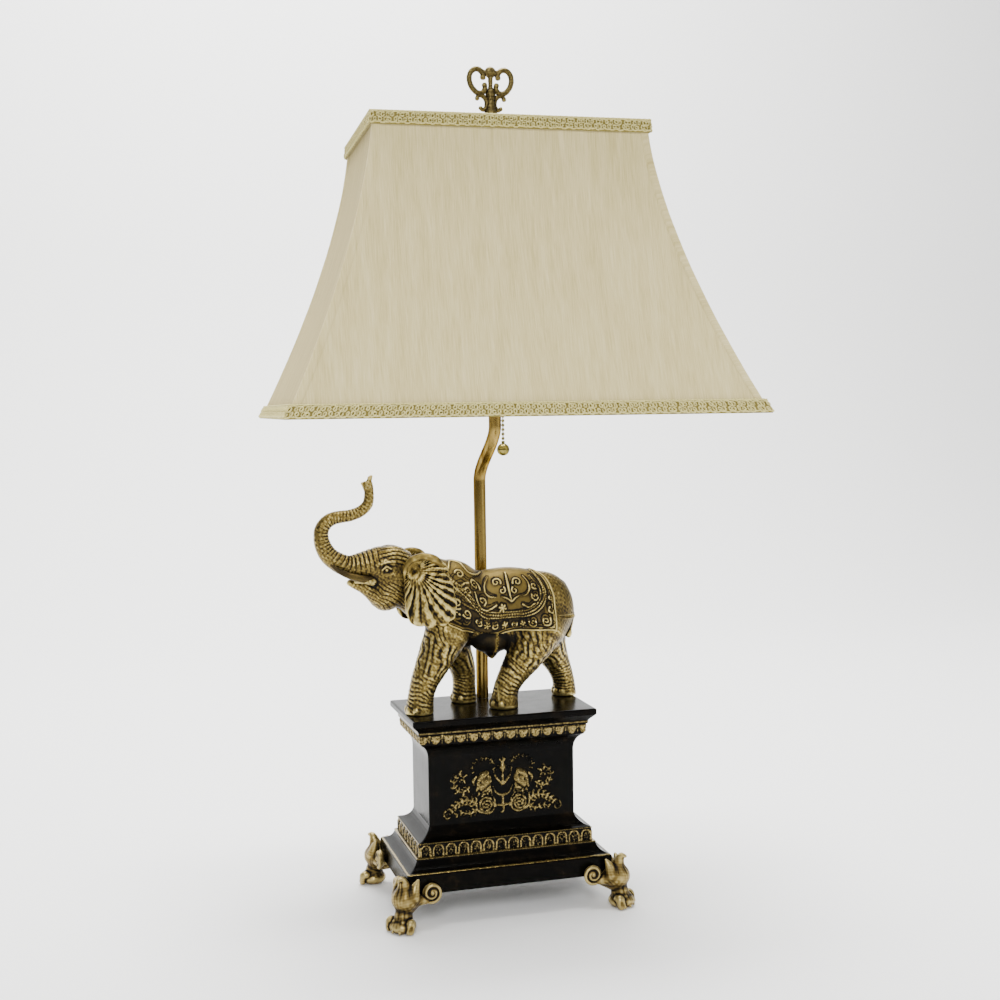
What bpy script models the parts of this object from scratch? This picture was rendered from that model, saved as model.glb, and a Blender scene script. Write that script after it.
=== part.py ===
"""Table lamp: an elephant figure on a footed pedestal, a bent brass stem, and a rectangular bell shade.

Metres, +Z up. The origin is on the table, under the shade's axis. The front is -Y and the elephant
faces -X. The pedestal and the foot of the stem stand a little to the left of the shade's axis, and
the stem's double bend brings the socket, the harp and the shade back over the origin.
"""

import math

import bmesh
import bpy
from mathutils import Matrix, Vector

MM = 0.001
GAP = 0.0003  # left between pieces that rest on each other
MERGE = 0.00001  # merge distance of every modifier that welds points

# Driving dimensions
LAMP_HEIGHT = 0.762
PEDESTAL_X = -0.007
PLATE_TOP = 0.1794
PLINTH_BOTTOM = 0.0279
PLINTH_TOP = 0.0463
PLINTH_HALF_WIDTH = 0.0955
DEPTH_LESS = 0.035  # every moulding is this much less deep than wide, measured from the centre
WALL = 0.007
STEM_Y = 0.031
STEM_RADIUS = 0.0057
STEM_BORE = 0.0051
STEM_TOP = 0.450
NIPPLE_RADIUS = 0.0046
NIPPLE_BORE = 0.0035
NIPPLE_HOLE = 0.0052
SCREW_RADIUS = 0.002
SCREW_HOLE = 0.0024
ELEPHANT_Y = -0.0015
SHADE_TURN = math.radians(-3.0)  # the shade hangs turned a little on its harp
SHADE_TOP = 0.7015
SHADE_BOTTOM = 0.4475
SHADE_TOP_HALF = (0.1190, 0.0830)
SHADE_BOTTOM_HALF = (0.2013, 0.1563)
SHADE_FLARE = 1.5  # the walls flare as this power of the drop below the top edge
CHAIN_Y = -0.026
CHAIN_SIDE_PIVOT = 0.4815  # where the hanging chain swings left and right
CHAIN_FORE_PIVOT = 0.4768  # where it swings to and fro
BALL_CENTRE = 0.4165
HARP_TOP = 0.6875
HARP_LEG_X = 0.031


# ---------------------------------------------------------------- scene and materials


def clear_scene():
    for obj in list(bpy.data.objects):
        bpy.data.objects.remove(obj)
    for name in ("elephant_table_lamp", "cutters"):
        collection = bpy.data.collections.new(name)
        bpy.context.scene.collection.children.link(collection)


def material(name, colour, roughness, metallic=0.0, alpha=1.0):
    made = bpy.data.materials.new(name)
    made.use_nodes = True
    shader = made.node_tree.nodes["Principled BSDF"]
    shader.inputs["Base Color"].default_value = (*colour, 1.0)
    shader.inputs["Roughness"].default_value = roughness
    shader.inputs["Metallic"].default_value = metallic
    shader.inputs["Alpha"].default_value = alpha
    return made


def make_materials():
    return {
        "gold": material("antique_gold", (0.36, 0.27, 0.11), 0.42, 0.8),
        "black": material("black_lacquer", (0.012, 0.011, 0.009), 0.25),
        "brass": material("antique_brass", (0.45, 0.32, 0.12), 0.3, 1.0),
        "steel": material("zinc_steel", (0.6, 0.6, 0.58), 0.35, 1.0),
        "linen": material("beige_linen", (0.62, 0.54, 0.36), 0.9),
        "lining": material("white_lining", (0.85, 0.83, 0.78), 0.8),
        "gimp": material("olive_gimp", (0.55, 0.55, 0.26), 0.85),
        "glass": material("frosted_glass", (0.9, 0.9, 0.88), 0.4, 0.0, 0.6),
        "phenolic": material("black_phenolic", (0.02, 0.018, 0.016), 0.5),
        "paper": material("fibre_paper", (0.45, 0.33, 0.2), 0.9),
        "board": material("brown_hardboard", (0.2, 0.12, 0.06), 0.85),
        "rubber": material("black_rubber", (0.015, 0.015, 0.015), 0.7),
    }


def link(obj, collection="elephant_table_lamp"):
    bpy.data.collections[collection].objects.link(obj)
    return obj


def new_object(name, mesh):
    return link(bpy.data.objects.new(name, mesh))


def finish(obj, paint, parent=None, smooth=35):
    """Give a piece its material and shading, and hang it on its empty."""
    obj.data.materials.clear()
    obj.data.materials.append(paint)
    if obj.type == "MESH":
        obj.data.shade_smooth()
        obj.data.set_sharp_from_angle(angle=math.radians(smooth))
    if parent:
        obj.parent = parent
    return obj


def empty(name, location, turn=0.0):
    made = link(bpy.data.objects.new(name, None))
    made.location = location
    made.rotation_euler.z = turn
    return made


# ---------------------------------------------------------------- shape helpers


def mesh_from(name, build):
    """An object whose mesh is what build(bm) makes."""
    bm = bmesh.new()
    build(bm)
    mesh = bpy.data.meshes.new(name)
    bm.to_mesh(mesh)
    bm.free()
    return new_object(name, mesh)


def box(name, low, high):
    size = Vector(high) - Vector(low)
    place = Matrix.Translation((Vector(high) + Vector(low)) / 2) @ Matrix.Diagonal((*size, 1))
    return mesh_from(name, lambda bm: bmesh.ops.create_cube(bm, size=1, matrix=place))


def along(axis):
    """The turn that carries +Z onto an axis letter."""
    return {
        "X": Matrix.Rotation(math.pi / 2, 4, "Y"),
        "Y": Matrix.Rotation(-math.pi / 2, 4, "X"),
        "Z": Matrix.Identity(4),
    }[axis]


def rod(name, centre, radius, length, axis="Z", sides=20, far_radius=None):
    """A cylinder or a cone about its centre."""
    place = Matrix.Translation(centre) @ along(axis)

    def build(bm):
        bmesh.ops.create_cone(
            bm,
            cap_ends=True,
            segments=sides,
            radius1=radius,
            radius2=radius if far_radius is None else far_radius,
            depth=length,
            matrix=place,
        )

    return mesh_from(name, build)


def turned(name, profile, centre=(0, 0, 0), steps=18, closed=False, axis="Z"):
    """A turned piece: (radius, height) pairs run down the outer side, then back up any inner side."""
    mesh = bpy.data.meshes.new(name)
    edges = [(i, i + 1) for i in range(len(profile) - 1)]
    if closed:
        edges.append((len(profile) - 1, 0))
    mesh.from_pydata([(radius, 0, height) for radius, height in profile], edges, [])
    obj = new_object(name, mesh)
    screw = obj.modifiers.new("turn", "SCREW")
    screw.axis = "Z"
    screw.steps = steps
    screw.render_steps = steps
    screw.use_merge_vertices = True
    screw.merge_threshold = MERGE
    made = applied(obj)
    made.matrix_world = Matrix.Translation(centre) @ along(axis)
    return made


def applied(obj):
    """The object again as plain mesh, with its modifiers applied and any curve converted."""
    bpy.context.view_layer.update()
    graph = bpy.context.evaluated_depsgraph_get()
    mesh = bpy.data.meshes.new_from_object(obj.evaluated_get(graph))
    bm = bmesh.new()
    bm.from_mesh(mesh)
    bmesh.ops.remove_doubles(bm, verts=bm.verts, dist=MERGE)
    bm.to_mesh(mesh)
    bm.free()
    name, place = obj.name, obj.matrix_world.copy()
    bpy.data.objects.remove(obj)
    made = new_object(name, mesh)
    made.matrix_world = place
    return made


def wire(name, points, radius, radii=None, cyclic=False, resolution=2):
    """A round wire or limb along points, with an optional radius at each point."""
    curve = bpy.data.curves.new(name, "CURVE")
    curve.dimensions = "3D"
    curve.bevel_depth = radius
    curve.bevel_resolution = resolution
    curve.use_fill_caps = True
    spline = curve.splines.new("POLY")
    spline.points.add(len(points) - 1)
    for index, (knot, point) in enumerate(zip(spline.points, points)):
        knot.co = (*point, 1)
        knot.radius = radii[index] / radius if radii else 1.0
    spline.use_cyclic_u = cyclic
    return applied(link(bpy.data.objects.new(name, curve)))


def boolean(obj, other, operation):
    """Cut obj with other, or join other to it, and remove other."""
    modifier = obj.modifiers.new(operation.lower(), "BOOLEAN")
    modifier.operation = operation
    modifier.object = other
    made = applied(obj)
    bpy.data.objects.remove(other)
    return made


def cut(obj, *cutters):
    for cutter in cutters:
        obj = boolean(obj, cutter, "DIFFERENCE")
    return obj


def union(obj, *others):
    for other in others:
        obj = boolean(obj, other, "UNION")
    return obj


def grown_together(name, pieces, voxel, share, smoothing=2):
    """Overlapping forms fused into one cast skin: a voxel remesh, smoothed, then thinned out."""
    mesh = bpy.data.meshes.new(name)
    bm = bmesh.new()
    for piece in pieces:
        bpy.context.view_layer.update()
        part = piece.data.copy()
        part.transform(piece.matrix_world)
        bm.from_mesh(part)
        bpy.data.meshes.remove(part)
        bpy.data.objects.remove(piece)
    bm.to_mesh(mesh)
    bm.free()
    obj = new_object(name, mesh)
    remesh = obj.modifiers.new("fuse", "REMESH")
    remesh.mode = "VOXEL"
    remesh.voxel_size = voxel
    soften = obj.modifiers.new("soften", "SMOOTH")
    soften.factor = 0.5
    soften.iterations = smoothing
    thin = obj.modifiers.new("thin", "DECIMATE")
    thin.ratio = share
    return applied(obj)


def ellipsoid(name, centre, radii, tilt=0.0, segments=20, rings=12):
    """A ball stretched to three radii and tilted about Y."""
    place = (
        Matrix.Translation(centre) @ Matrix.Rotation(tilt, 4, "Y") @ Matrix.Diagonal((*radii, 1))
    )
    return mesh_from(
        name,
        lambda bm: bmesh.ops.create_uvsphere(
            bm, u_segments=segments, v_segments=rings, radius=1, matrix=place
        ),
    )


def moulded_block(name, levels, less=DEPTH_LESS):
    """A rectangular block, drawn up level by level: (height, half width) pairs from the bottom."""

    def build(bm):
        (low, half), (high, _) = levels[:2]
        size = Matrix.Diagonal((2 * half, 2 * (half - less), high - low, 1))
        place = Matrix.Translation((0, 0, (low + high) / 2)) @ size
        bmesh.ops.create_cube(bm, size=1, matrix=place)
        top = max(bm.faces, key=lambda face: face.calc_center_median().z)
        for (z0, half0), (z1, half1) in zip(levels[1:], levels[2:]):
            grown = bmesh.ops.extrude_face_region(bm, geom=[top])["geom"]
            bmesh.ops.delete(bm, geom=[top], context="FACES_ONLY")
            corners = [v for v in grown if isinstance(v, bmesh.types.BMVert)]
            top = next(f for f in grown if isinstance(f, bmesh.types.BMFace))
            bmesh.ops.translate(bm, verts=corners, vec=(0, 0, z1 - z0))
            stretch = (half1 / half0, (half1 - less) / (half0 - less), 1)
            bmesh.ops.scale(bm, verts=corners, vec=stretch)

    return mesh_from(name, build)


def round_points(radius, start, end, count, centre=(0, 0)):
    """Points along an arc in a plane, angles in degrees."""
    steps = [math.radians(start + (end - start) * i / (count - 1)) for i in range(count)]
    return [(centre[0] + radius * math.cos(a), centre[1] + radius * math.sin(a)) for a in steps]


def corners_of(half_width, half_depth):
    return [(sx * half_width, sy * half_depth) for sx, sy in ((-1, -1), (1, -1), (1, 1), (-1, 1))]


CORNER_NAMES = ("front_left", "front_right", "back_right", "back_left")


# ---------------------------------------------------------------- pedestal


def pedestal_levels():
    """Heights and half widths of the mouldings, from the plinth up to the top plate."""
    plinth = [(PLINTH_BOTTOM, PLINTH_HALF_WIDTH), (0.0453, PLINTH_HALF_WIDTH), (PLINTH_TOP, 0.0945)]
    lower_cove = [(0.0476, 0.0903), (0.0500, 0.0868), (0.0530, 0.0848), (0.0550, 0.0842)]
    arcade = [(0.0565, 0.0842), (0.0570, 0.0816), (0.0683, 0.0816)]
    upper_cove = [(0.0696, 0.0792), (0.0712, 0.0752), (0.0745, 0.0712), (0.0801, 0.0686)]
    dado = [(0.1406, 0.0686)]
    neck_cove = [(0.1460, 0.0694), (0.1510, 0.0718), (0.1545, 0.0752), (0.1552, 0.0768)]
    egg_band = [(0.1648, 0.0784), (0.1652, 0.0796), (0.1670, 0.0796)]
    cyma = [(0.1685, 0.0800), (0.1705, 0.0818), (0.1730, 0.0846), (0.1745, 0.0857)]
    lip = [(0.1786, 0.0857), (PLATE_TOP, 0.0848)]
    return plinth + lower_cove + arcade + upper_cove + dado + neck_cove + egg_band + cyma + lip


COVER_HALF = 0.0902
COVER_RECESS_TOP = 0.0314
CAVITY_TOP = 0.171
PLINTH_CAVITY_TOP = 0.042
GROMMET_Z = 0.0365
BOSS_X = 0.0825
BOSS_Y = 0.0475
FIGURE_BOLTS = ((0.0, -0.0165), (-0.0275, 0.0215))  # in world x and y


def pedestal(paint, stand):
    """The hollow casting, open below, with solid corners for the foot screws."""
    body = moulded_block("pedestal_casting", pedestal_levels())
    recess = COVER_HALF + GAP
    hollow = [
        box(
            "recess",
            (-recess, -recess + DEPTH_LESS, 0.02),
            (recess, recess - DEPTH_LESS, COVER_RECESS_TOP),
        ),
        box("wide_hollow", (-0.0885, -0.0425, 0.02), (0.0885, 0.0425, PLINTH_CAVITY_TOP)),
        box("deep_hollow", (-0.0765, -0.0535, 0.02), (0.0765, 0.0535, PLINTH_CAVITY_TOP)),
        box("dado_hollow", (-0.0616, -0.0266, 0.02), (0.0616, 0.0266, CAVITY_TOP)),
        rod("nut_pocket", (0, STEM_Y, 0.1642), 0.0095, 0.0136),
        rod("nipple_hole", (0, STEM_Y, PLATE_TOP), NIPPLE_HOLE, 0.03),
        rod("cord_hole", (0, PLINTH_HALF_WIDTH - DEPTH_LESS - WALL / 2, GROMMET_Z), 0.0052, 0.02, "Y"),
    ]
    hollow += [
        rod("bolt_hole", (x - PEDESTAL_X, y, PLATE_TOP), SCREW_HOLE, 0.03, sides=12)
        for x, y in FIGURE_BOLTS
    ]
    hollow += [
        rod("boss_hole", (x, y, 0.036), SCREW_HOLE, 0.010, sides=12)
        for x, y in corners_of(BOSS_X, BOSS_Y)
    ]
    finish(cut(body, *hollow), paint["black"], stand, smooth=20)


def bottom_cover(paint, stand):
    half_depth = COVER_HALF - DEPTH_LESS
    bottom = PLINTH_BOTTOM + GAP
    plate = box("bottom_cover", (-COVER_HALF, -half_depth, bottom), (COVER_HALF, half_depth, 0.0311))
    holes = [
        rod("cover_hole", (x, y, 0.03), SCREW_HOLE, 0.01, sides=12)
        for x, y in corners_of(BOSS_X, BOSS_Y)
    ]
    finish(cut(plate, *holes), paint["board"], stand)


def foot_screws(paint, stand):
    """Pan-head screws that run up through each foot's pad and the cover into the casting."""
    head_bottom, pad_bottom, tip = 0.0213, 0.0243, 0.0400
    for name, (x, y) in zip(CORNER_NAMES, corners_of(BOSS_X, BOSS_Y)):
        profile = [
            (0, tip),
            (SCREW_RADIUS * 0.6, tip),
            (SCREW_RADIUS, tip - 0.002),
            (SCREW_RADIUS, pad_bottom - GAP),
            (0.0039, pad_bottom - GAP),
            (0.0039, head_bottom + 0.001),
            (0.0030, head_bottom),
            (0, head_bottom),
        ]
        screw = turned(f"foot_screw_{name}", profile, (x, y, 0), steps=12)
        finish(screw, paint["steel"], stand)


def paw_foot(name, sx, sy):
    """A lion's paw under one corner: it points out along the diagonal, with a leaf up the corner
    and a volute against each face of the plinth. Signs sx and sy say which corner."""
    half_width, half_depth = PLINTH_HALF_WIDTH, PLINTH_HALF_WIDTH - DEPTH_LESS

    def at(out_x, out_y, height):
        return (sx * (half_width + out_x), sy * (half_depth + out_y), height)

    leg = [
        at(-0.004, -0.004, 0.0245),
        at(0.000, 0.000, 0.0220),
        at(0.0035, 0.0035, 0.0165),
        at(0.0050, 0.0050, 0.0100),
    ]
    leaf = [at(0.0040, 0.0040, 0.024), at(0.0036, 0.0036, 0.038), at(0.0052, 0.0052, 0.0495)]
    front_arm = [at(-0.020, 0.0036, 0.0265), at(0.002, 0.0025, 0.0250)]
    side_arm = [at(0.0036, -0.020, 0.0265), at(0.0025, 0.002, 0.0250)]
    toes = []
    across = Vector((sx, -sy, 0)).normalized()
    outward = Vector((sx, sy, 0)).normalized()
    for slot in (-1, 0, 1):
        knuckle = Vector(at(0.0045, 0.0045, 0.0078)) + across * slot * 0.0056
        tip = knuckle + outward * (0.0085 - abs(slot) * 0.0015) - Vector((0, 0, 0.0044))
        toes.append(wire("toe", [knuckle, tip], MM, radii=[0.0050, 0.0042]))
    pieces = [
        wire("leg", leg, MM, radii=[0.0095, 0.0100, 0.0080, 0.0082], resolution=3),
        *toes,
        rod("sole", at(0.0050, 0.0050, 0.0020), 0.0098, 0.0068),
        wire("leaf", leaf, MM, radii=[0.0075, 0.0052, 0.0022]),
        rod("front_volute", at(-0.0200, 0.0040, 0.0310), 0.0095, 0.0074, "Y"),
        rod("side_volute", at(0.0040, -0.0200, 0.0310), 0.0095, 0.0074, "X"),
        wire("front_arm", front_arm, MM, radii=[0.0036, 0.0052]),
        wire("side_arm", side_arm, MM, radii=[0.0036, 0.0052]),
    ]
    low = [min(sx * (half_width - 0.021), sx * half_width), min(sy * (half_depth - 0.021), sy * half_depth)]
    high = [max(sx * (half_width - 0.021), sx * half_width), max(sy * (half_depth - 0.021), sy * half_depth)]
    pieces.append(box("pad", (*low, 0.0243), (*high, 0.0290)))
    foot = grown_together(f"paw_foot_{name}", pieces, voxel=0.0012, share=0.034)
    reach = 0.03
    plinth = box(
        "plinth_space",
        (-half_width - GAP, -half_depth - GAP, PLINTH_BOTTOM - GAP),
        (half_width + GAP, half_depth + GAP, PLINTH_TOP + reach),
    )
    floor = box("floor", (-0.2, -0.2, -0.05), (0.2, 0.2, 0.0))
    hole = rod("pad_hole", (sx * BOSS_X, sy * BOSS_Y, 0.024), SCREW_HOLE, 0.012, sides=12)
    head_room = rod("head_room", (sx * BOSS_X, sy * BOSS_Y, 0.0193), 0.0045, 0.010, sides=12)
    return cut(foot, plinth, floor, hole, head_room)


def feet(paint, stand):
    for name, (sx, sy) in zip(CORNER_NAMES, corners_of(1, 1)):
        finish(paw_foot(name, sx, sy), paint["gold"], stand)


def cord_grommet(paint, stand):
    """A rubber bush in the back of the plinth, where the supply cord leaves."""
    back = PLINTH_HALF_WIDTH - DEPTH_LESS
    bore, waist, flange = 0.0036, 0.0049, 0.0068
    inside, outside = -WALL - 0.0018, 0.0018
    profile = [
        (flange - 0.0005, outside),
        (flange, outside - 0.0005),
        (flange, GAP),
        (waist, GAP),
        (waist, -WALL - GAP),
        (waist + 0.0002, -WALL - GAP),
        (waist - 0.0004, inside),
        (bore, inside),
        (bore, outside),
    ]
    bush = turned("cord_grommet", profile, (0, back, GROMMET_Z), closed=True, axis="Y")
    finish(bush, paint["rubber"], stand)


# ---------------------------------------------------------------- elephant


LEG_PATHS = {
    "near_front": (
        [(-52, -12, 250), (-65, -15, 226), (-74, -16, 208), (-77.5, -16, 195), (-79, -16, 181)],
        [21, 15.5, 12.8, 12.0, 13.2],
    ),
    "far_front": (
        [(-46, 8, 246), (-35, 16, 226), (-28.5, 20, 209), (-27.5, 21, 195), (-28, 21, 181)],
        [19, 14, 11.5, 10.8, 12.2],
    ),
    "near_rear": (
        [(38, -10, 252), (23, -14, 228), (9, -16, 209), (2.5, -16, 196), (0.5, -16, 181)],
        [25, 18, 13.2, 11.8, 13.6],
    ),
    "far_rear": (
        [(46, 8, 248), (57, 14, 223), (66, 18, 206), (70.5, 20, 193), (71, 20, 181)],
        [22, 14.5, 11.2, 10.6, 11.8],
    ),
}
TRUNK_PATH = (
    [(-112, 316), (-126, 314.5), (-138, 314), (-147.4, 318), (-155.9, 324.4), (-160.9, 333.1), (-162.7, 341.8)]
    + [(-161.4, 349.4), (-155.2, 356), (-146.6, 358.6), (-137.1, 359.7), (-127.5, 362.8), (-120.4, 368.6)]
    + [(-118.9, 374.5), (-118.6, 380.6), (-119.6, 386)]
)
TRUNK_RADII = [15, 12.2, 10, 9, 8.2, 7.5, 6.9, 6.5, 6.1, 5.7, 5.4, 5.1, 4.8, 4.6, 4.4, 4.7]


def limb(name, path, radii):
    return wire(name, [Vector(p) * MM for p in path], MM, radii=[r * MM for r in radii], resolution=4)


def ear(name, side):
    """A flat fan, hinged at the temple and swept back along the neck."""
    middle = Vector((-0.0690, ELEPHANT_Y + side * 0.0265, 0.2910))
    turn = Matrix.Rotation(side * math.radians(9), 4, "Z") @ Matrix.Rotation(side * math.radians(-6), 4, "X")
    fan = ellipsoid(name, (0, 0, 0), (0.0235, 0.0042, 0.0335), segments=16)
    fan.matrix_world = Matrix.Translation(middle) @ turn
    return fan


def elephant_forms():
    """Overlapping volumes of the figure, in millimetres before they are scaled."""
    mid = ELEPHANT_Y / MM
    balls = {
        "barrel": ((6, mid, 268), (62, 23.5, 38.5), 2),
        "shoulder": ((-44, mid, 279), (31, 23.5, 37), 0),
        "rump": ((42, mid, 266), (31, 23, 37), 0),
        "neck": ((-72, mid, 292), (30, 20, 30), -12),
        "skull": ((-98, mid, 307), (23, 18.5, 24), 0),
        "cheek": ((-101, mid, 292), (21, 17.5, 17), -38),
    }
    forms = [
        ellipsoid(name, Vector(c) * MM, Vector(r) * MM, math.radians(tilt))
        for name, (c, r, tilt) in balls.items()
    ]
    forms += [limb(name, path, radii) for name, (path, radii) in LEG_PATHS.items()]
    forms.append(limb("trunk", [(x, mid, z) for x, z in TRUNK_PATH], TRUNK_RADII))
    forms.append(limb("trunk_finger", [(-119.6, mid, 386), (-116.6, mid, 393)], [4.2, 1.9]))
    forms.append(limb("trunk_lip", [(-120, mid, 384.5), (-124.2, mid, 386.5)], [3.4, 1.9]))
    forms.append(limb("jaw", [(-136, mid, 298.5), (-122, mid, 295), (-106, mid, 286)], [3.6, 7.5, 13]))
    for side in (-1, 1):
        forms.append(ear("ear", side))
        tusk = [(-124, mid + side * 10, 303), (-140, mid + side * 11.5, 307), (-156, mid + side * 10, 317)]
        forms.append(limb("tusk", tusk, [4.2, 3.2, 1.6]))
    tail = [(68, mid, 284), (74.5, mid - 1, 270), (75, mid - 3, 256), (71.5, mid - 5, 243)]
    forms.append(limb("tail", tail, [4, 3, 2.6, 3.4]))
    girth = [(-6.5, mid - 22, 250), (-6.5, mid - 12, 234), (-6.5, mid, 229), (-6.5, mid + 12, 234)]
    forms.append(limb("girth", girth, [4, 4.5, 5, 4]))
    return forms


def elephant(paint):
    """The figure is one casting, relieved where the stem passes behind it."""
    figure = grown_together("elephant_figure", elephant_forms(), voxel=0.0022, share=0.062)
    below = box("below", (-0.2, -0.1, 0.1), (0.2, 0.1, PLATE_TOP + GAP))
    relief = rod("stem_relief", (PEDESTAL_X, STEM_Y, 0.26), STEM_RADIUS + 0.0008, 0.2)
    holes = [rod("leg_hole", (x, y, 0.185), SCREW_HOLE, 0.031, sides=12) for x, y in FIGURE_BOLTS]
    finish(cut(figure, below, relief, *holes), paint["gold"], smooth=60)


def figure_bolts(paint):
    """Flange bolts that run up from inside the pedestal into two of the legs."""
    for name, (x, y) in zip(("near", "far"), FIGURE_BOLTS):
        seat = CAVITY_TOP - GAP
        profile = [
            (0, 0.2000),
            (SCREW_RADIUS * 0.6, 0.2000),
            (SCREW_RADIUS, 0.1980),
            (SCREW_RADIUS, seat),
            (0.0046, seat),
            (0.0046, seat - 0.0010),
            (0.0034, seat - 0.0012),
            (0.0034, seat - 0.0040),
            (0, seat - 0.0040),
        ]
        finish(turned(f"figure_bolt_{name}", profile, (x, y, 0), steps=12), paint["steel"])


# ---------------------------------------------------------------- stem and socket


def ring_profile(outer, inner, bottom, top):
    return [(outer, top), (outer, bottom), (inner, bottom), (inner, top)]


def stem_route(start, end):
    """The stem rises straight behind the figure, then bends forward in a smooth double bend."""
    bend_low, bend_high, steps = 0.386, 0.438, 12
    route = [Vector((PEDESTAL_X, STEM_Y, start))]
    for step in range(steps + 1):
        share = step / steps
        ease = share * share * (3 - 2 * share)
        height = bend_low + (bend_high - bend_low) * share
        route.append(Vector((PEDESTAL_X * (1 - ease), STEM_Y * (1 - ease), height)))
    route.append(Vector((0, 0, end)))
    return route


def stem(paint):
    tube = wire("stem_tube", stem_route(PLATE_TOP + GAP, STEM_TOP), STEM_RADIUS, resolution=4)
    bore = wire("stem_bore", stem_route(PLATE_TOP - 0.01, STEM_TOP + 0.01), STEM_BORE, resolution=4)
    finish(cut(tube, bore), paint["brass"], smooth=50)
    foot = (PEDESTAL_X, STEM_Y, 0)
    lower = turned("stem_nipple", ring_profile(NIPPLE_RADIUS, NIPPLE_BORE, 0.1605, 0.1960), foot, 20, True)
    finish(lower, paint["steel"])
    washer = turned("stem_washer", ring_profile(0.0085, NIPPLE_HOLE, 0.1693, 0.1707), foot, 20, True)
    finish(washer, paint["steel"])
    nut = cut(
        rod("stem_nut", (PEDESTAL_X, STEM_Y, 0.16675), 0.0078, 0.0045, sides=6),
        rod("nut_thread", (PEDESTAL_X, STEM_Y, 0.16675), NIPPLE_HOLE, 0.01),
    )
    finish(nut, paint["steel"])
    upper_profile = ring_profile(NIPPLE_RADIUS, NIPPLE_BORE, 0.4390, 0.4630)
    upper = turned("socket_nipple", upper_profile, (0, 0, 0), 20, True)
    finish(upper, paint["steel"])


def harp_saddle(paint):
    """A strip under the socket with a pin at each end, which the harp's legs stand on."""
    strip = box("harp_saddle", (-HARP_LEG_X - 0.003, -0.006, 0.4503), (HARP_LEG_X + 0.003, 0.006, 0.4518))
    for side in (-1, 1):
        strip = union(strip, rod("pin", (side * HARP_LEG_X, 0, 0.4626), 0.0017, 0.0232, sides=12))
    hole = rod("saddle_hole", (0, 0, 0.451), NIPPLE_HOLE, 0.01)
    finish(cut(strip, hole), paint["brass"])


LEVER_PIVOT = (0, -0.0035, 0.4780)
SOCKET = {"cap_bottom": 0.4522, "cap_top": 0.4780, "shell_bottom": 0.4725, "shell_top": 0.5230}


def socket(paint):
    bottom, top = SOCKET["cap_bottom"], SOCKET["cap_top"]
    cap = [
        (0.0181, top),
        (0.0181, 0.4640),
        (0.0160, 0.4582),
        (0.0110, 0.4545),
        (0.0080, bottom),
        (NIPPLE_HOLE, bottom),
        (NIPPLE_HOLE, bottom + 0.0010),
        (0.0076, bottom + 0.0010),
        (0.0104, 0.4554),
        (0.0152, 0.4590),
        (0.0173, 0.4643),
        (0.0173, top),
    ]
    finish(turned("socket_cap", cap, closed=True), paint["brass"])
    bottom, top = SOCKET["shell_bottom"], SOCKET["shell_top"]
    shell = [
        (0.0172, top),
        (0.0176, top - 0.0008),
        (0.0169, top - 0.0020),
        (0.0169, bottom),
        (0.0163, bottom),
        (0.0163, top),
    ]
    shell = turned("socket_shell", shell, closed=True)
    slot = rod("guide_slot", (0, -0.0165, 0.494), 0.0023, 0.006, "Y", sides=16)
    finish(cut(shell, slot), paint["brass"])
    liner = turned("socket_liner", ring_profile(0.0160, 0.0154, 0.4740, 0.5210), closed=True)
    slot = rod("liner_slot", (0, -0.0157, 0.494), 0.0023, 0.006, "Y", sides=16)
    finish(cut(liner, slot), paint["paper"])
    body_profile = [(0, 0.4958), (0.0145, 0.4958), (0.0150, 0.4950), (0.0150, 0.4680), (0, 0.4680)]
    body = turned("socket_body", body_profile)
    slot = box("lever_slot", (-0.0022, -0.016, 0.4720), (0.0022, 0.0005, 0.4970))
    pin_hole = rod("pin_hole", LEVER_PIVOT, 0.0012, 0.0100, "X", sides=12)
    finish(cut(body, slot, pin_hole), paint["phenolic"])
    screw_shell = [
        (0.0142, 0.5190),
        (0.0142, 0.4962),
        (0.0050, 0.4962),
        (0.0050, 0.4968),
        (0.0136, 0.4968),
        (0.0136, 0.5190),
    ]
    finish(turned("screw_shell", screw_shell, closed=True), paint["brass"])
    button = [(0, 0.4984), (0.0026, 0.4984), (0.0034, 0.4962), (0, 0.4962)]
    contact = turned("centre_contact", button, steps=16)
    finish(contact, paint["brass"])


def chain_guide(paint):
    """A bell-mouthed elbow on the shell that turns the chain down."""
    bend = round_points(0.004, 90, 180, 6, (CHAIN_Y + 0.004, 0.490))
    middle = [(0, y, z) for y, z in bend]
    path = [(0, -0.0174, 0.494), *middle, (0, CHAIN_Y, 0.4822)]
    guide = wire("chain_guide", path, MM, radii=[0.0033] * (len(path) - 1) + [0.0038], resolution=3)
    bore = [(0, -0.0160, 0.494), *middle, (0, CHAIN_Y, 0.4800)]
    guide = cut(guide, wire("guide_bore", bore, 0.0023, resolution=3))
    finish(guide, paint["brass"])


def switch_lever(paint):
    """The rocker inside the socket that the chain draws down."""
    pivot = Vector(LEVER_PIVOT)
    tip = pivot + Vector((0, -0.0070, 0.0070))
    arm = wire("switch_lever", [pivot, tip], 0.0009, resolution=2)
    arm = union(arm, rod("boss", pivot, 0.0021, 0.0030, "X", sides=14))
    finish(cut(arm, rod("pin_hole", pivot, 0.0012, 0.01, "X", sides=12)), paint["brass"])
    finish(rod("lever_pin", pivot, 0.0008, 0.0090, "X", sides=12), paint["steel"])


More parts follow.
